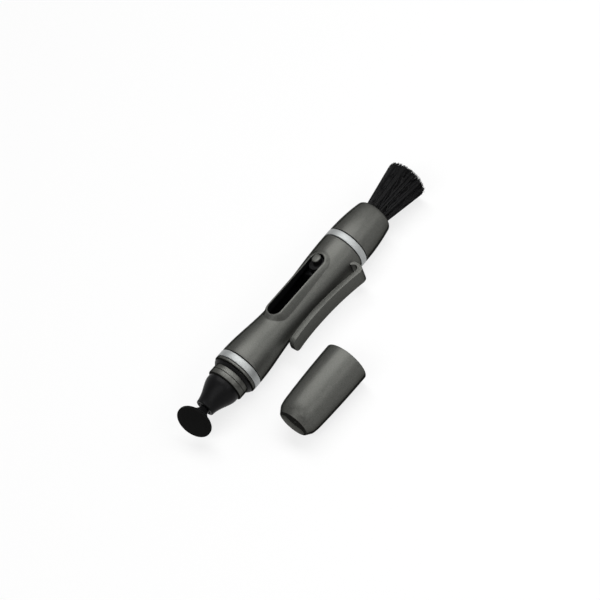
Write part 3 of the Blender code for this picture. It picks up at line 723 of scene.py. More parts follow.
def set_lengthwise_lines(bm, sizes):
    """Slides the turned tube's points round it, so that lines near the slot run straight along it."""
    for vert in bm.verts:
        place = vert.co - PEN
        radius = math.hypot(place.y, place.z)
        around = math.atan2(place.y, place.z)
        line = abs(around) / math.tau * BARREL_STEPS
        outer = barrel_radius(place.x, sizes)
        if line <= TOP_STEPS:
            angle = math.asin(TOP_HALF_WIDTH * line / TOP_STEPS / outer)
        else:
            edge = math.asin(TOP_HALF_WIDTH / outer)
            angle = edge + (math.pi - edge) * (line - TOP_STEPS) / (BARREL_STEPS / 2 - TOP_STEPS)
        angle = math.copysign(angle, around)
        vert.co = PEN + Vector((place.x, radius * math.sin(angle), radius * math.cos(angle)))


def over_zero(value, softness):
    """The value where it is positive, else zero, with a soft bend between."""
    return (value + math.sqrt(value**2 + softness**2)) / 2


def past_slot(x, y, sizes):
    """How far a place lies outside the slot's outline, or less than 0 inside it."""
    straight = (sizes.slot_length - sizes.slot_width) / 2
    run = max(abs(x - slot_middle(sizes)) - straight, 0.0)
    return math.hypot(run, y) - sizes.slot_width / 2


def rim_height(x, y, surface, sizes):
    """Height over the axis of the barrel's top, where the raised rim stands on it round the slot."""
    from_slot = past_slot(x, y, sizes)
    beyond = over_zero(from_slot - sizes.rim_lip, sizes.rim_round)
    fade = max(1 - beyond / sizes.rim_flank, 0.0) ** FLANK_POWER
    top = BARREL_RADIUS - sizes.waist_depth + sizes.rim_rise
    rise = sizes.rim_bead + over_zero(top - surface - sizes.rim_bead, sizes.rim_round)
    inside_edge = min(max(sizes.rim_round - from_slot, 0.0), sizes.rim_round)
    rounding = sizes.rim_round - math.sqrt(sizes.rim_round**2 - inside_edge**2)
    return surface + rise * fade - rounding


def raise_rim(bm, sizes):
    for vert in bm.verts:
        place = vert.co - PEN
        outside = math.hypot(place.y, place.z) > barrel_radius(place.x, sizes) - sizes.wall / 2
        if outside and place.z > 0 and abs(place.y) < TOP_HALF_WIDTH:
            vert.co.z = PEN.z + rim_height(place.x, place.y, place.z, sizes)


def inside_barrel(polygon, sizes):
    """Whether a face of the cut barrel belongs to its bore or the slot's walls, which take black plastic:
    unpainted inside, and painted shade in the slot's recess.
    """
    place = polygon.center - PEN
    outwards = Vector((0, place.y, place.z)).dot(polygon.normal)
    in_bore = outwards < 0 and abs(polygon.normal.x) < BORE_LEAN
    near_slot = abs(past_slot(place.x, place.y, sizes)) < sizes.rim_round * WALL_REACH
    return in_bore or place.z > 0 and near_slot and abs(polygon.normal.z) < WALL_LEAN


class LENS_PEN_OT_barrel(bpy.types.Operator):
    """Waisted barrel with a raised rim round the slider's slot, and the pocket for the clip"""

    bl_idname = "lens_pen.barrel"
    bl_label = "Barrel"

    def execute(self, context):
        pen = context.scene.lens_pen
        sizes, clip = pen.barrel, pen.clip
        outside = [(x, barrel_radius(x, sizes)) for x in barrel_stations(sizes)]
        outside[0] += (BARREL_EDGE,)
        outside[-1] += (BARREL_EDGE,)
        inside = [(x, bore_radius(x, sizes)) for x in spread(BARREL_LENGTH, 0.0, CURVE_POINTS)]
        bm = turned(outside + inside, PEN, steps=BARREL_STEPS)
        set_lengthwise_lines(bm, sizes)
        raise_rim(bm, sizes)
        barrel = make_object("barrel_shell", bm)
        slot = make_object(
            "slot_cutter",
            racetrack(
                PEN + Vector((slot_middle(sizes), 0, 0)),
                sizes.slot_length,
                sizes.slot_width,
                2 * RING_RADIUS,
                SLOT_SEGMENTS,
            ),
        )
        half = clip.width / 2 + FINE_GAP
        outline = [PEN + Vector((x, -away, -half)) for x, away in pocket_outline(clip, sizes)]
        pocket = make_object("pocket_cutter", prism(outline, (0, 0, 2 * half)))
        cut(barrel, slot, pocket)
        dress(barrel, "gunmetal", gunmetal(), black())
        # The bore is unpainted black plastic; on the slot's walls the black is also painted shade where the recess
        # falls dark.
        for polygon in barrel.data.polygons:
            polygon.material_index = int(inside_barrel(polygon, sizes))
        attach(barrel, "pen")
        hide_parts("barrel_tube")
        return {"FINISHED"}


# Trim rings and shroud

RING_EDGE = 0.25 * MM


class LENS_PEN_OT_trim_rings(bpy.types.Operator):
    """Two plated rings, one at each end of the barrel"""

    bl_idname = "lens_pen.trim_rings"
    bl_label = "Trim rings"

    def execute(self, context):
        inner = BARREL_RADIUS - context.scene.lens_pen.barrel.wall
        for name, node, (start, end) in (
            ("front_ring", "front_trim_ring", FRONT_RING),
            ("rear_ring", "rear_trim_ring", REAR_RING),
        ):
            profile = [
                (start, inner),
                (start, RING_RADIUS, RING_EDGE),
                (end, RING_RADIUS, RING_EDGE),
                (end, inner),
            ]
            add_piece(name, turned(profile, PEN), "pen", "silver", silver(), node)
        return {"FINISHED"}


SHROUD_DROP = 1.55 * MM  # by how much its radius falls to the mouth end
SHROUD_EDGE = 1.0 * MM
SHROUD_EDGE_ROOM = 1.5 * SHROUD_EDGE  # length without other points, for the rounding
SHROUD_LIP = 1.6 * MM  # length of the narrow mouth
SHROUD_MOUTH_EDGE = 0.25 * MM


def tuft_radius(x, sizes):
    """Outer radius of the flared tuft at a station."""
    return sizes.root + sizes.flare * (x - FERRULE[1]) / (TUFT_END - FERRULE[1])


class LENS_PEN_OT_shroud(bpy.types.Operator):
    """Rear sleeve: an arched taper with a narrow mouth round the brush"""

    bl_idname = "lens_pen.shroud"
    bl_label = "Brush shroud"

    def execute(self, context):
        pen = context.scene.lens_pen
        begin, end = REAR_RING[1] + SEAT_GAP, SHROUD[1]
        run = end - begin
        arch = (run**2 + SHROUD_DROP**2) / (2 * SHROUD_DROP)
        outside = []
        for x in spread(begin, end, CURVE_POINTS):
            outside.append((x, BARREL_RADIUS - arch + math.sqrt(arch**2 - (x - begin) ** 2)))
        last = outside.pop() + (SHROUD_EDGE,)
        outside = [point for point in outside if point[0] < end - SHROUD_EDGE_ROOM] + [last]
        mouth = tuft_radius(end, pen.brush) + SEAT_GAP
        guide = BARREL_RADIUS - pen.barrel.waist_depth - pen.barrel.wall
        inside = [
            (end, mouth, SHROUD_MOUTH_EDGE),
            (end - SHROUD_LIP, mouth),
            (end - SHROUD_LIP - abs(guide - mouth), guide),
            (SHROUD[0], guide),
            (SHROUD[0], bore_radius(SHROUD[0], pen.barrel) - SEAT_GAP),
            (BARREL_LENGTH, bore_radius(BARREL_LENGTH, pen.barrel) - SEAT_GAP),
            (begin, bore_radius(BARREL_LENGTH, pen.barrel) - SEAT_GAP),
        ]
        outside[0] += (BARREL_EDGE,)
        bm = turned(outside + inside, PEN)
        add_piece("brush_sleeve", bm, "pen", "gunmetal", gunmetal(), "brush_shroud")
        return {"FINISHED"}


# Pocket clip

CLIP_POINTS = 40
BEND_POINTS = 14
TIP_STEPS = 8
CLIP_FOOT = 0.25 * MM  # height at which the rounded end of the gap meets the barrel
BEND_PULL = 2.4 * MM  # how far the bend swells towards its corner
FOOT_TURN = math.radians(50)  # how far the bend turns in under itself
FLEX_LENGTH = 3  # bend lengths from the bend to an end point in front of it


def arm_inner(x, clip, barrel):
    """Distance of the arm's inner side from the axis at a station."""
    bow = BARREL_LENGTH - clip.set_back - clip.bow
    return barrel_radius(bow, barrel) + clip.bow_gap + (x - bow) ** 2 / (2 * clip.bow_radius)


def arm_outer(x, clip, barrel):
    to_rear = BARREL_LENGTH - clip.set_back - x
    return arm_inner(x, clip, barrel) + clip.thickness - clip.thinning * smoothstep(1 - to_rear / clip.bow)


def clip_bend(clip, barrel):
    """Middle and radius of the rounded end of the gap, round which the clip bends back to the barrel."""
    end = BARREL_LENGTH - clip.set_back - clip.bend_wall
    floor = barrel_radius(end, barrel)
    radius = (arm_inner(end - clip.bow_gap, clip, barrel) - floor) / 2
    return Vector((end - radius, floor + radius)), radius


def arc(middle_point, radius, start, end, count):
    return [middle_point + radius * Vector((math.cos(a), math.sin(a))) for a in spread(start, end, count)]


def gap_start(radius):
    """Angle at which the gap's rounded end begins, on the barrel."""
    return -math.asin(1 - CLIP_FOOT / radius)


def clip_outline(clip, barrel):
    """Side view of the clip as (station, distance from the axis): arm, bend, tongue and rounded gap."""
    rear = BARREL_LENGTH - clip.set_back
    tip, start = rear - clip.reach, rear - clip.bend_length
    centre, radius = clip_bend(clip, barrel)
    gap = arc(centre, radius, gap_start(radius), math.pi / 2, BEND_POINTS)
    foot = arc(centre, radius + clip.bend_wall, 0, -FOOT_TURN, BEND_POINTS)
    lead = start + BEND_PULL
    bend = interpolate_bezier(
        (start, arm_outer(start, clip, barrel)),
        (lead, arm_outer(lead, clip, barrel)),
        (rear - CLIP_FOOT, centre.y + BEND_PULL),
        (rear, centre.y),
        BEND_POINTS,
    )
    deep = bore_radius(rear, barrel) + SEAT_GAP
    outer = [tip] + spread(tip + clip.straight, start, CLIP_POINTS)
    outline = [(x, arm_outer(x, clip, barrel)) for x in outer]
    outline += [(point.x, point.y) for point in bend[1:] + foot[1:]]
    outline += [(foot[-1].x, deep), (gap[0].x, deep)] + [(point.x, point.y) for point in gap]
    inner = spread(centre.x, tip + clip.straight, CLIP_POINTS)[1:] + [tip]
    return outline + [(x, arm_inner(x, clip, barrel)) for x in inner]


def pocket_outline(clip, barrel):
    """Side view of the hole that the clip's tongue stands in, a little larger than the tongue."""
    centre, radius = clip_bend(clip, barrel)
    front = arc(centre, radius, gap_start(radius), 0, BEND_POINTS)[0].x - FINE_GAP
    foot = arc(centre, radius + clip.bend_wall + FINE_GAP, -FOOT_TURN, 0, BEND_POINTS)
    outline = [(front, RING_RADIUS / 2), (foot[0].x, RING_RADIUS / 2)] + [(p.x, p.y) for p in foot]
    return outline + [(foot[-1].x, 2 * RING_RADIUS), (front, 2 * RING_RADIUS)]


def edge_at(edge, test):
    return all(test(vert.co - PEN) for vert in edge.verts)


def upright(edge):
    """Whether an edge runs across the clip's width."""
    first, last = (vert.co for vert in edge.verts)
    return abs(first.z - last.z) > MERGE_DISTANCE


class LENS_PEN_OT_clip(bpy.types.Operator):
    """Pocket clip: a bowed arm bent back to a tongue in the barrel"""

    bl_idname = "lens_pen.clip"
    bl_label = "Pocket clip"

    def execute(self, context):
        pen = context.scene.lens_pen
        clip, barrel = pen.clip, pen.barrel
        outline = [PEN + Vector((x, -away, -clip.width / 2)) for x, away in clip_outline(clip, barrel)]
        bm = prism(outline, (0, 0, clip.width))
        rear = BARREL_LENGTH - clip.set_back
        tip = rear - clip.reach
        corners = [e for e in bm.edges if edge_at(e, lambda p: p.x < tip + FINE_GAP) and not upright(e)]
        round_edges(bm, corners, clip.tip_round, TIP_STEPS, clamp=True)
        clear = clip.edge_round + CLIP_FOOT
        sharp = [
            e
            for e in bm.edges
            if e.calc_face_angle(0.0) > SMOOTH_ANGLE
            and edge_at(e, lambda p: -p.y > barrel_radius(p.x, barrel) + clear)
        ]
        round_edges(bm, sharp, clip.edge_round, clamp=True)
        obj = dress(make_object("clip_arm", bm), "gunmetal", gunmetal())
        hinge = Vector(JOINTS["clip_flex"]["pos_m"])
        start = PEN + Vector((rear - clip.bend_wall, 0, 0))
        end = start - Vector((FLEX_LENGTH * clip.bend_length, 0, 0))
        start.y = end.y = hinge.y
        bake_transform(obj)
        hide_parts("pocket_clip")
        return {"FINISHED"}


# Nose: collar, seal and nozzle

SPIGOT_EDGE = 0.2 * MM
BOSS_RADIUS = 3.6 * MM
SEAL_EDGE = 0.3 * MM


def nozzle_radius(x, nose):
    """Outer radius of the bell-shaped nozzle at a station."""
    big = RING_RADIUS - nose.spigot_step - nose.nozzle_step
    small = nose.mouth_radius + nose.lip_wall
    run = NOZZLE[1] - NOZZLE[0] - nose.nozzle_land
    part = max(NOZZLE[1] - nose.nozzle_land - x, 0.0) / run
    return big - (big - small) * smoothstep(part**nose.nozzle_fall)


class LENS_PEN_OT_nose(bpy.types.Operator):
    """Collar with its flange and banded spigot, the black seal on it, and the bell-shaped nozzle"""

    bl_idname = "lens_pen.nose"
    bl_label = "Nose"

    def execute(self, context):
        pen = context.scene.lens_pen
        self.collar(pen.nose, pen.barrel)
        self.nozzle(pen.nose)
        frame["nodes"]["ball_seat"].data.materials.clear()
        frame["nodes"]["ball_seat"].data.materials.append(black())
        return {"FINISHED"}

    def collar(self, nose, barrel):
        spigot = RING_RADIUS - nose.spigot_step
        flange_end = FRONT_RING[0] - SEAT_GAP
        flange = flange_end - nose.flange_width
        front = NOZZLE[1] + SEAT_GAP
        seat = spigot - SEAT_GAP
        line = (front + SEAL[0]) / 2
        tail = bore_radius(0.0, barrel) - SEAT_GAP
        profile = [
            (COLLAR[0], 0),
            (COLLAR[0], BOSS_RADIUS),
            (front, BOSS_RADIUS),
            (front, spigot, SPIGOT_EDGE),
            (line - nose.spigot_line / 2, spigot),
            (line, spigot - nose.spigot_line),
            (line + nose.spigot_line / 2, spigot),
            (SEAL[0], spigot, SPIGOT_EDGE / 2),
            (SEAL[0], seat),
            (flange, seat),
            (flange, BARREL_RADIUS, SPIGOT_EDGE),
            (flange_end, BARREL_RADIUS),
            (flange_end, tail),
            (COLLAR[1], bore_radius(COLLAR[1], barrel) - SEAT_GAP),
            (COLLAR[1], 0),
        ]
        bm = turned(profile, PEN, closed=False)
        add_piece("spigot_collar", bm, "pen", "gunmetal", gunmetal(), "nose_collar")
        ring = [
            (SEAL[0], seat + FINE_GAP),
            (SEAL[0], spigot + nose.seal_proud, SEAL_EDGE / 2),
            (SEAL[1], BARREL_RADIUS - SEAL_EDGE, SEAL_EDGE),
            (SEAL[1], seat + FINE_GAP),
        ]
        add_piece("seal_ring", turned(ring, PEN), "pen", "rubber", rubber(), "cap_seal_ring")

    def nozzle(self, nose):
        front, back = NOZZLE
        mouth = nose.mouth_radius
        bell = spread(back - nose.nozzle_land, front + nose.lip_round, CURVE_POINTS)
        outside = [(back, nozzle_radius(back, nose), SPIGOT_EDGE)]
        outside += [(x, nozzle_radius(x, nose)) for x in bell]
        outside += [(front, nozzle_radius(front, nose), nose.lip_round), (front, mouth, nose.lip_round / 3)]
        hollow = mouth + SEAT_GAP
        inside = [
            (BALL.x - PEN.x, hollow),
            (COLLAR[0] - SEAT_GAP, hollow),
            (COLLAR[0] - SEAT_GAP, BOSS_RADIUS + SEAT_GAP),
            (back, BOSS_RADIUS + SEAT_GAP),
        ]
        bm = turned(outside + inside, PEN)
        add_piece("nozzle_bell", bm, "pen", "rubber", rubber(), "nozzle_cone")


# Swivelling tip

PAD_EDGE = 0.2 * MM


def aim_tip(bm):
    """Turns a shape that was made along -X about the ball to the tip's own heading."""
    straight = Vector((-1, 0, 0))
    aim = straight.rotation_difference(HEADING).to_matrix()
    bmesh.ops.rotate(bm, cent=BALL, matrix=aim, verts=bm.verts[:])
    return bm


class LENS_PEN_OT_tip(bpy.types.Operator):
    """Ball, neck and trumpet disc as one piece, and the flat cleaning pad on it"""

    bl_idname = "lens_pen.tip"
    bl_label = "Swivelling tip"

    def execute(self, context):
        tip = context.scene.lens_pen.tip
        pad_back = TIP_LENGTH - tip.pad_thickness
        disc_front = pad_back - FINE_GAP
        disc_back = disc_front - tip.disc_edge
        at_neck = math.asin(tip.neck_radius / tip.ball_radius)
        stem = [
            (-tip.ball_radius * math.cos(a), tip.ball_radius * math.sin(a))
            for a in spread(math.pi, at_neck, CURVE_POINTS)
        ]
        stem[0] = (tip.ball_radius, 0)
        rim = tip.pad_radius - PAD_EDGE
        for part in spread(0, 1, CURVE_POINTS):
            x = tip.neck_length + (disc_back - tip.neck_length) * part
            stem.append((-x, tip.neck_radius + (rim - tip.neck_radius) * part**tip.flare_power))
        stem += [(-disc_back - PAD_EDGE, tip.pad_radius, PAD_EDGE / 2)]
        stem += [(-disc_front, tip.pad_radius, PAD_EDGE / 4), (-disc_front, 0)]
        bm = aim_tip(turned(stem, BALL, closed=False))
        add_piece("swivel_stem", bm, "tip", "rubber", rubber(), "tip_stem")
        pad = [
            (-pad_back, 0),
            (-pad_back, tip.pad_radius, PAD_EDGE / 2),
            (-TIP_LENGTH, tip.pad_radius, 1.5 * PAD_EDGE),
            (-TIP_LENGTH, 0),
        ]
        bm = aim_tip(turned(pad, BALL, closed=False))
        obj = add_piece("chamois_pad", bm, "tip", "chamois", chamois(), "cleaning_pad")
        return {"FINISHED"}


# Slider

KEY_GAP = 0.3 * MM  # between the slider's key and the slot, all round
KEY_DROP = 0.9 * MM  # key's top under the rim's top
KEY_EDGE = 0.25 * MM
SLIDE_EDGE = 0.5 * MM
NUB_LENGTH = 3.4 * MM
NUB_WIDTH = 2.8 * MM
NUB_SEGMENTS = 40
NUB_DROP = 0.45 * MM  # nub's flat top under the top of the CAD's round one
NUB_BACK = 0.7 * MM  # how far the nub sits behind the key's middle
NUB_ROUND = 0.5 * MM
NUB_HIGHLIGHT_SLOPE = 0.5  # least upward slope of the faces that take the gunmetal paint, a painted highlight on the nub's top
KEY_SEGMENTS = 48


class LENS_PEN_OT_slider(bpy.types.Operator):
    """The slide inside the barrel, and the thumb slider that stands up through the slot"""

    bl_idname = "lens_pen.slider"
    bl_label = "Slider"

    def execute(self, context):
        barrel = context.scene.lens_pen.barrel
        start, end = SLIDE
        bore = FERRULE_RADIUS + FINE_GAP
        profile = [
            (start, 0),
            (start, SLIDE_RADIUS, SLIDE_EDGE),
            (end, SLIDE_RADIUS, SLIDE_EDGE / 2),
            (end, bore),
            (FERRULE[0] - FINE_GAP, bore),
            (FERRULE[0] - FINE_GAP, 0),
        ]
        bm = turned(profile, PEN, closed=False)
        add_piece("slide_block", bm, "brush", "black", black(), "brush_carriage")
        low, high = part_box("thumb_slider")
        key_top = PEN.z + BARREL_RADIUS - barrel.waist_depth + barrel.rim_rise - KEY_DROP
        foot = PEN.z + SLIDE_RADIUS - SLIDE_EDGE
        place = Vector(((low.x + high.x) / 2, PEN.y, foot))
        key_width = barrel.slot_width - 2 * KEY_GAP
        key = racetrack(place, high.x - low.x, key_width, key_top - foot, KEY_SEGMENTS)
        round_edges(key, top_edges(key, key_top), KEY_EDGE)
        add_piece("slider_key", key, "brush", "black", black())
        nub_top = high.z - NUB_DROP
        nub_place = Vector((place.x + NUB_BACK, place.y, key_top))
        nub = racetrack(nub_place, NUB_LENGTH, NUB_WIDTH, nub_top - key_top, NUB_SEGMENTS)
        round_edges(nub, top_edges(nub, nub_top), NUB_ROUND)
        obj = add_piece("slider_nub", nub, "brush", "black", black(), "thumb_slider")
        # Painted highlight: the black nub's upward faces take the lighter gunmetal paint, as if lit from above;
        # its sides keep their own black.
        obj.data.materials.append(gunmetal())
        for polygon in obj.data.polygons:
            polygon.material_index = int(polygon.normal.z > NUB_HIGHLIGHT_SLOPE)
        return {"FINISHED"}


# Brush

FERRULE_WALL = 0.35 * MM
CRIMP_DEPTH = 0.25 * MM
CRIMP_WIDTH = 0.8 * MM
SECTORS = 12  # parts of the tuft, each made as a piece of its own
LEVELS = 5  # lengths that a hair is made of
HAIR_SIDES = 3
HAIR_STRAY = 0.5  # usual stray of a hair's end, as a part of its wander
HAIR_SEED = 11
HAIR_ROOT_DEPTH = 1.5 * MM  # how far the hairs reach into the ferrule
HAIR_SWELL = (0.6, 0.75, 0.9, 1.0, 0.95, 0.5)  # a hair's width from root to point, as parts of its widest


def tuft_cells(rows, root):
    """A round lattice of small triangles, one to a hair, facing +Z."""
    bm = bmesh.new()
    bmesh.ops.create_circle(bm, cap_ends=True, cap_tris=True, segments=6, radius=1.0)
    corner = max(bm.verts, key=lambda v: v.co.y)
    first = math.atan2(corner.co.y, corner.co.x)
    bmesh.ops.subdivide_edges(bm, edges=bm.edges[:], cuts=rows - 1, use_grid_fill=True)
    sixth = math.pi / 3
    for vert in bm.verts:
        off_flat = (math.atan2(vert.co.y, vert.co.x) - first) % sixth - sixth / 2
        vert.co *= root * math.cos(off_flat) / math.cos(sixth / 2)
    return bm


def sector_of(face):
    place = face.calc_center_median()
    return int((math.atan2(place.y, place.x) + math.pi) / math.tau * SECTORS) % SECTORS


class Hair:
    """One hair's course: where its middle lies at a part of its length."""

    def __init__(self, root, draw, sizes):
        self.root = root
        free = TUFT_END - FERRULE[1]
        out = root.length / sizes.root
        self.length = free - sizes.dome * out**2 - sizes.ragged * draw.random() ** 2
        self.stray = Vector((draw.gauss(0, HAIR_STRAY), draw.gauss(0, HAIR_STRAY), 0)) * sizes.wander
        self.fan = sizes.flare / sizes.root * self.length / free
        self.spin = draw.random() * math.tau

    def place(self, part):
        lean = self.root * (self.fan * part) + self.stray * part**2
        return self.root + lean + Vector((0, 0, self.length * part))


def corner_places(middle_point, width, spin):
    """Corners round a hair's middle."""
    for i in range(HAIR_SIDES):
        angle = spin + i * math.tau / HAIR_SIDES
        yield middle_point + Vector((math.cos(angle), math.sin(angle), 0)) * (width / 2)


class LENS_PEN_OT_brush(bpy.types.Operator):
    """Ferrule and a flared tuft of single hairs, made in sectors that are pieces of their own"""

    bl_idname = "lens_pen.brush"
    bl_label = "Brush"

    def execute(self, context):
        sizes = context.scene.lens_pen.brush
        self.ferrule()
        cells_bm = tuft_cells(sizes.rows, sizes.root)
        roots = defaultdict(list)
        for face in cells_bm.faces:
            roots[sector_of(face)].append(face.calc_center_median())
        cells_bm.free()
        draw = random.Random(HAIR_SEED)
        for sector in range(SECTORS):
            self.sector(sector, [Hair(root, draw, sizes) for root in roots[sector]], sizes)
        return {"FINISHED"}

    def ferrule(self):
        start, end = FERRULE
        inner = FERRULE_RADIUS - FERRULE_WALL
        crimp = end - 3 * CRIMP_WIDTH
        profile = [
            (start, inner),
            (start, FERRULE_RADIUS, FERRULE_WALL / 3),
            (crimp - CRIMP_WIDTH, FERRULE_RADIUS, FERRULE_WALL),
            (crimp, FERRULE_RADIUS - CRIMP_DEPTH, FERRULE_WALL),
            (crimp + CRIMP_WIDTH, FERRULE_RADIUS, FERRULE_WALL),
            (end, FERRULE_RADIUS, FERRULE_WALL / 3),
            (end, inner),
        ]
        add_piece("ferrule_tube", turned(profile, PEN), "brush", "nickel", nickel(), "brush_ferrule")

    def sector(self, index, hairs, sizes):
        bm = bmesh.new()
        rings = []
        for strand in hairs:
            sunk = strand.root - Vector((0, 0, HAIR_ROOT_DEPTH))
            corners = corner_places(sunk, sizes.hair_width * HAIR_SWELL[0], strand.spin)
            rings.append(bm.faces.new([bm.verts.new(corner) for corner in corners]))
        for level in range(1, LEVELS + 1):
            part = level / LEVELS
            rings = bmesh.ops.extrude_discrete_faces(bm, faces=rings)["faces"]
            for strand, ring in zip(hairs, rings):
                width = sizes.hair_width * HAIR_SWELL[level]
                for vert, corner in zip(ring.verts, corner_places(strand.place(part), width, strand.spin)):
                    vert.co = corner
        bmesh.ops.holes_fill(bm, edges=[e for e in bm.edges if e.is_boundary], sides=HAIR_SIDES)
        aim = Quaternion((0, 1, 0), math.pi / 2).to_matrix()
        bmesh.ops.rotate(bm, cent=(0, 0, 0), matrix=aim, verts=bm.verts[:])
        root_place = PEN + Vector((FERRULE[1], 0, 0))
        bmesh.ops.translate(bm, vec=root_place, verts=bm.verts[:])
        nodes = ("bristles",) if index == 0 else ()
        obj = add_piece(f"hair_sector_{index + 1:02d}", bm, "brush", "hair", hair(), *nodes)
        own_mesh(obj)


# Cap

CAP_MOUTH_EDGE = 0.25 * MM


def cap_radius(run, cap):
    """Outer radius of the cap at a distance from its rounded end, which has a bevel."""
    if run < cap.bevel:
        part = run / cap.bevel
        return cap_radius(cap.bevel, cap) * part + (CAP_RADIUS - cap.taper - cap.round_depth) * (1 - part)
    taper = cap.taper * (1 - min(run / CAP_LENGTH, 1.0)) ** 2
    left = max(1 - run / cap.round_length, 0.0)
    return CAP_RADIUS - taper - cap.round_depth * (1 - math.sqrt(1 - left**2))


class LENS_PEN_OT_cap(bpy.types.Operator):
    """Cap with a dished, vented end, and inside it the cup and foam that hold the carbon"""

    bl_idname = "lens_pen.cap"
    bl_label = "Cap"

    def execute(self, context):
        cap = context.scene.lens_pen.cap
        end_wall = CUP[0] - SEAT_GAP
        rounded = [cap.round_length * part**2 for part in spread(0, 1, CURVE_POINTS)]
        runs = rounded + spread(cap.round_length, CAP_LENGTH, CURVE_POINTS)[1:-1]
        outside = [(x, cap_radius(x, cap)) for x in runs]
        outside += [(CAP_LENGTH, CAP_RADIUS, CAP_MOUTH_EDGE)]
        depths = spread(CAP_LENGTH, end_wall, CURVE_POINTS)
        inside = [(x, cap_radius(x, cap) - cap.wall) for x in depths]
        inside[0] += (CAP_MOUTH_EDGE / 2,)
        dish = cap_radius(0, cap) - cap.end_rim
        hollow = [(end_wall, cap.vent_radius)]
        for part in spread(0, 1, CURVE_POINTS):
            reach = cap.vent_radius + (dish - cap.vent_radius) * part
            hollow.append((cap.dish_depth * (1 - part**cap.dish_power), reach))
        bm = turned(outside + inside + hollow, CAP)
        add_piece("cap_sleeve", bm, "cap", "gunmetal", gunmetal(), "cap_shell")
        self.filling(cap)
        return {"FINISHED"}

    def filling(self, cap):
        start, end = CUP
        floor = start + cap.cup_wall
        inner = CUP_RADIUS - cap.cup_wall
        cup = [
            (start, 0),
            (start, CUP_RADIUS, CAP_MOUTH_EDGE),
            (end, CUP_RADIUS, CAP_MOUTH_EDGE / 2),
            (end, inner, CAP_MOUTH_EDGE / 2),
            (floor, inner),
            (floor, 0),
        ]
        add_piece("carbon_holder", turned(cup, CAP, closed=False), "cap", "black", black(), "carbon_cup")
        pad = [(FOAM[0], 0), (FOAM[0], FOAM_RADIUS), (FOAM[1], FOAM_RADIUS, CAP_MOUTH_EDGE), (FOAM[1], 0)]
        obj = add_piece("foam_pad", turned(pad, CAP, closed=False), "cap", "foam", foam(), "carbon_pad")


# Stage

FLOOR_SIZE = 40.0
FLOOR_DROP = 0.02 * MM
BOUNCE_TONE = 0.12  # tone of the floor for light that bounces off it
GLOW_PART = 0.76  # part of the floor's white that shadows leave alone
SKY_TONES = (1.0, 0.35)  # tones of the surroundings at the horizon and overhead
SKY_HEIGHTS = (0.1, 0.7)  # heights between which they change, as parts of a direction's length
CAMERA_NEAR = 0.01
LAMP_DISTANCE = 0.9
KEY_HEADING = (0.333, 0.023, 0.943)
KEY_SIZE = (1.04, 0.3)  # across the pen and along it
SIDE_HEADING = (0.333, -0.759, 0.56)
SIDE_SIZE = (0.95, 0.3)
FRONT_HEADING = (-0.55, -0.25, 0.8)
FRONT_SIZE = (0.9, 0.3)


def seen_directly(tree):
    """1 for rays that show the background: from the camera, in reflections and through clear things."""
    path = add_node(tree, "ShaderNodeLightPath", {})
    either = calculate(tree, "MAXIMUM", path.outputs["Is Camera Ray"], path.outputs["Is Glossy Ray"])
    return calculate(tree, "MAXIMUM", either, path.outputs["Is Transmission Ray"])


def floor_finish(tone):
    """Pale floor that looks white and keeps the shadow, but throws little light back up."""
    mat = bpy.data.materials.new("pale_floor")
    mat.use_nodes = True
    tree = mat.node_tree
    tree.nodes.clear()
    glow = add_node(tree, "ShaderNodeEmission", {"Strength": 1.0})
    lit = add_node(tree, "ShaderNodeBsdfDiffuse", {"Color": [*tone, 1.0]})
    white = add_node(tree, "ShaderNodeMixShader", {0: GLOW_PART, 1: lit.outputs[0], 2: glow.outputs[0]})
    dim = add_node(tree, "ShaderNodeBsdfDiffuse", {"Color": [BOUNCE_TONE] * 3 + [1.0]})
    both = add_node(
        tree, "ShaderNodeMixShader", {0: seen_directly(tree), 1: dim.outputs[0], 2: white.outputs[0]}
    )
    add_node(tree, "ShaderNodeOutputMaterial", {"Surface": both.outputs[0]})
    return mat


def light_surroundings(world, ambient):
    """White at the horizon and greyer overhead where it is seen, and a low even light elsewhere."""
    world.use_nodes = True
    tree = world.node_tree
    tree.nodes.clear()
    where = add_node(tree, "ShaderNodeTexCoord", {})
    split = add_node(tree, "ShaderNodeSeparateXYZ", {"Vector": where.outputs["Generated"]})
    tone = map_range(tree, split.outputs["Z"], SKY_HEIGHTS, SKY_TONES)
    sky = add_node(tree, "ShaderNodeBackground", {"Strength": tone})
    low = add_node(tree, "ShaderNodeBackground", {"Strength": ambient})
    both = add_node(
        tree, "ShaderNodeMixShader", {0: seen_directly(tree), 1: low.outputs[0], 2: sky.outputs[0]}
    )
    add_node(tree, "ShaderNodeOutputWorld", {"Surface": both.outputs[0]})


def add_lamp(name, heading, size, level, aim):
    """A soft lamp whose level is the light on a surface that faces it."""
    lamp = bpy.data.lights.new(name, "AREA")
    lamp.shape = "RECTANGLE"
    lamp.size, lamp.size_y = size
    lamp.energy = level * math.pi**2 * LAMP_DISTANCE**2
    obj = bpy.data.objects.new(name, lamp)
    away = Vector(heading).normalized()
    obj.location = aim + away * LAMP_DISTANCE
    obj.rotation_euler = away.to_track_quat("Z", "Y").to_euler()
    bpy.context.scene.collection.objects.link(obj)


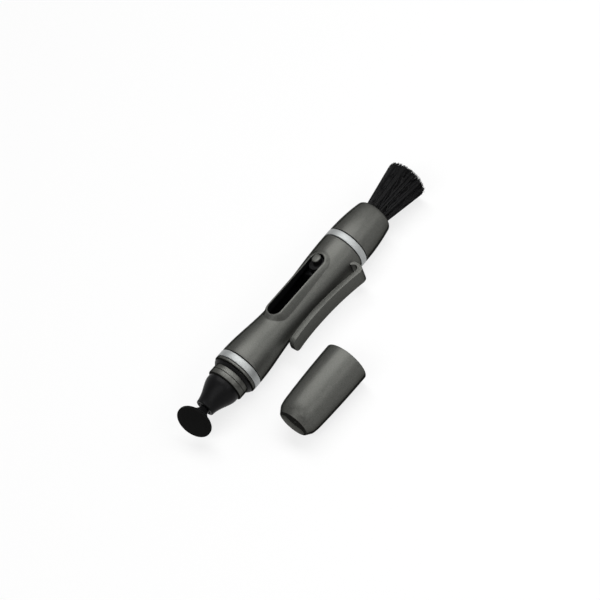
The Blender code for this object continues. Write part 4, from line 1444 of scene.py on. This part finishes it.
class LENS_PEN_OT_stage(bpy.types.Operator):
    """Pale floor, soft studio lamps and the camera"""

    bl_idname = "lens_pen.stage"
    bl_label = "Stage"

    def execute(self, context):
        scene = context.scene
        stage = scene.lens_pen.stage
        aim = PEN + Vector(stage.aim)
        bm = bmesh.new()
        bmesh.ops.create_grid(bm, x_segments=1, y_segments=1, size=FLOOR_SIZE / 2)
        bmesh.ops.translate(bm, vec=(0, 0, -FLOOR_DROP), verts=bm.verts[:])
        floor = make_object("studio_floor", bm)
        floor.data.materials.append(floor_finish(scene.lens_pen.colours.floor))
        scene.world = scene.world or bpy.data.worlds.new("studio")
        light_surroundings(scene.world, stage.ambient)
        add_lamp("key_lamp", KEY_HEADING, KEY_SIZE, stage.key, aim)
        add_lamp("side_lamp", SIDE_HEADING, SIDE_SIZE, stage.side, aim)
        add_lamp("front_lamp", FRONT_HEADING, FRONT_SIZE, stage.front, aim)
        self.camera(scene, stage, aim)
        scene.view_settings.view_transform = "Standard"
        return {"FINISHED"}

    def camera(self, scene, stage, aim):
        data = bpy.data.cameras.new("studio_camera")
        data.lens = stage.lens
        data.clip_start = CAMERA_NEAR
        level = math.cos(stage.elevation)
        back = Vector(
            (level * math.cos(stage.azimuth), level * math.sin(stage.azimuth), math.sin(stage.elevation))
        )
        obj = bpy.data.objects.new("studio_camera", data)
        obj.location = aim + back * stage.distance
        upright_view = back.to_track_quat("Z", "Y")
        obj.rotation_euler = (upright_view @ Quaternion((0, 0, 1), stage.roll)).to_euler()
        scene.collection.objects.link(obj)
        scene.camera = obj


PIECES = (
    LENS_PEN_OT_barrel,
    LENS_PEN_OT_trim_rings,
    LENS_PEN_OT_shroud,
    LENS_PEN_OT_clip,
    LENS_PEN_OT_nose,
    LENS_PEN_OT_tip,
    LENS_PEN_OT_slider,
    LENS_PEN_OT_brush,
    LENS_PEN_OT_cap,
    LENS_PEN_OT_stage,
)


class LENS_PEN_PT_sidebar(bpy.types.Panel):
    """Lists what can be made"""

    bl_label = "Lens pen"
    bl_idname = "LENS_PEN_PT_sidebar"
    bl_space_type = "VIEW_3D"
    bl_region_type = "UI"
    bl_category = "Lens pen"

    def draw(self, context):
        for piece in PIECES:
            self.layout.operator(piece.bl_idname)


GROUPS = (
    BarrelSizes,
    ClipSizes,
    NoseSizes,
    TipSizes,
    BrushSizes,
    CapSizes,
    Colours,
    StageSettings,
    LensPen,
)


def register():
    for cls in GROUPS + PIECES + (LENS_PEN_PT_sidebar,):
        bpy.utils.register_class(cls)
    bpy.types.Scene.lens_pen = PointerProperty(type=LensPen)


def unregister():
    del bpy.types.Scene.lens_pen
    for cls in reversed(GROUPS + PIECES + (LENS_PEN_PT_sidebar,)):
        bpy.utils.unregister_class(cls)


def main():
    register()
    bpy.ops.lens_pen.barrel()
    bpy.ops.lens_pen.trim_rings()
    bpy.ops.lens_pen.shroud()
    bpy.ops.lens_pen.clip()
    bpy.ops.lens_pen.nose()
    bpy.ops.lens_pen.tip()
    bpy.ops.lens_pen.slider()
    bpy.ops.lens_pen.brush()
    bpy.ops.lens_pen.cap()
    bpy.ops.lens_pen.stage()


if __name__ == "__main__":
    main()
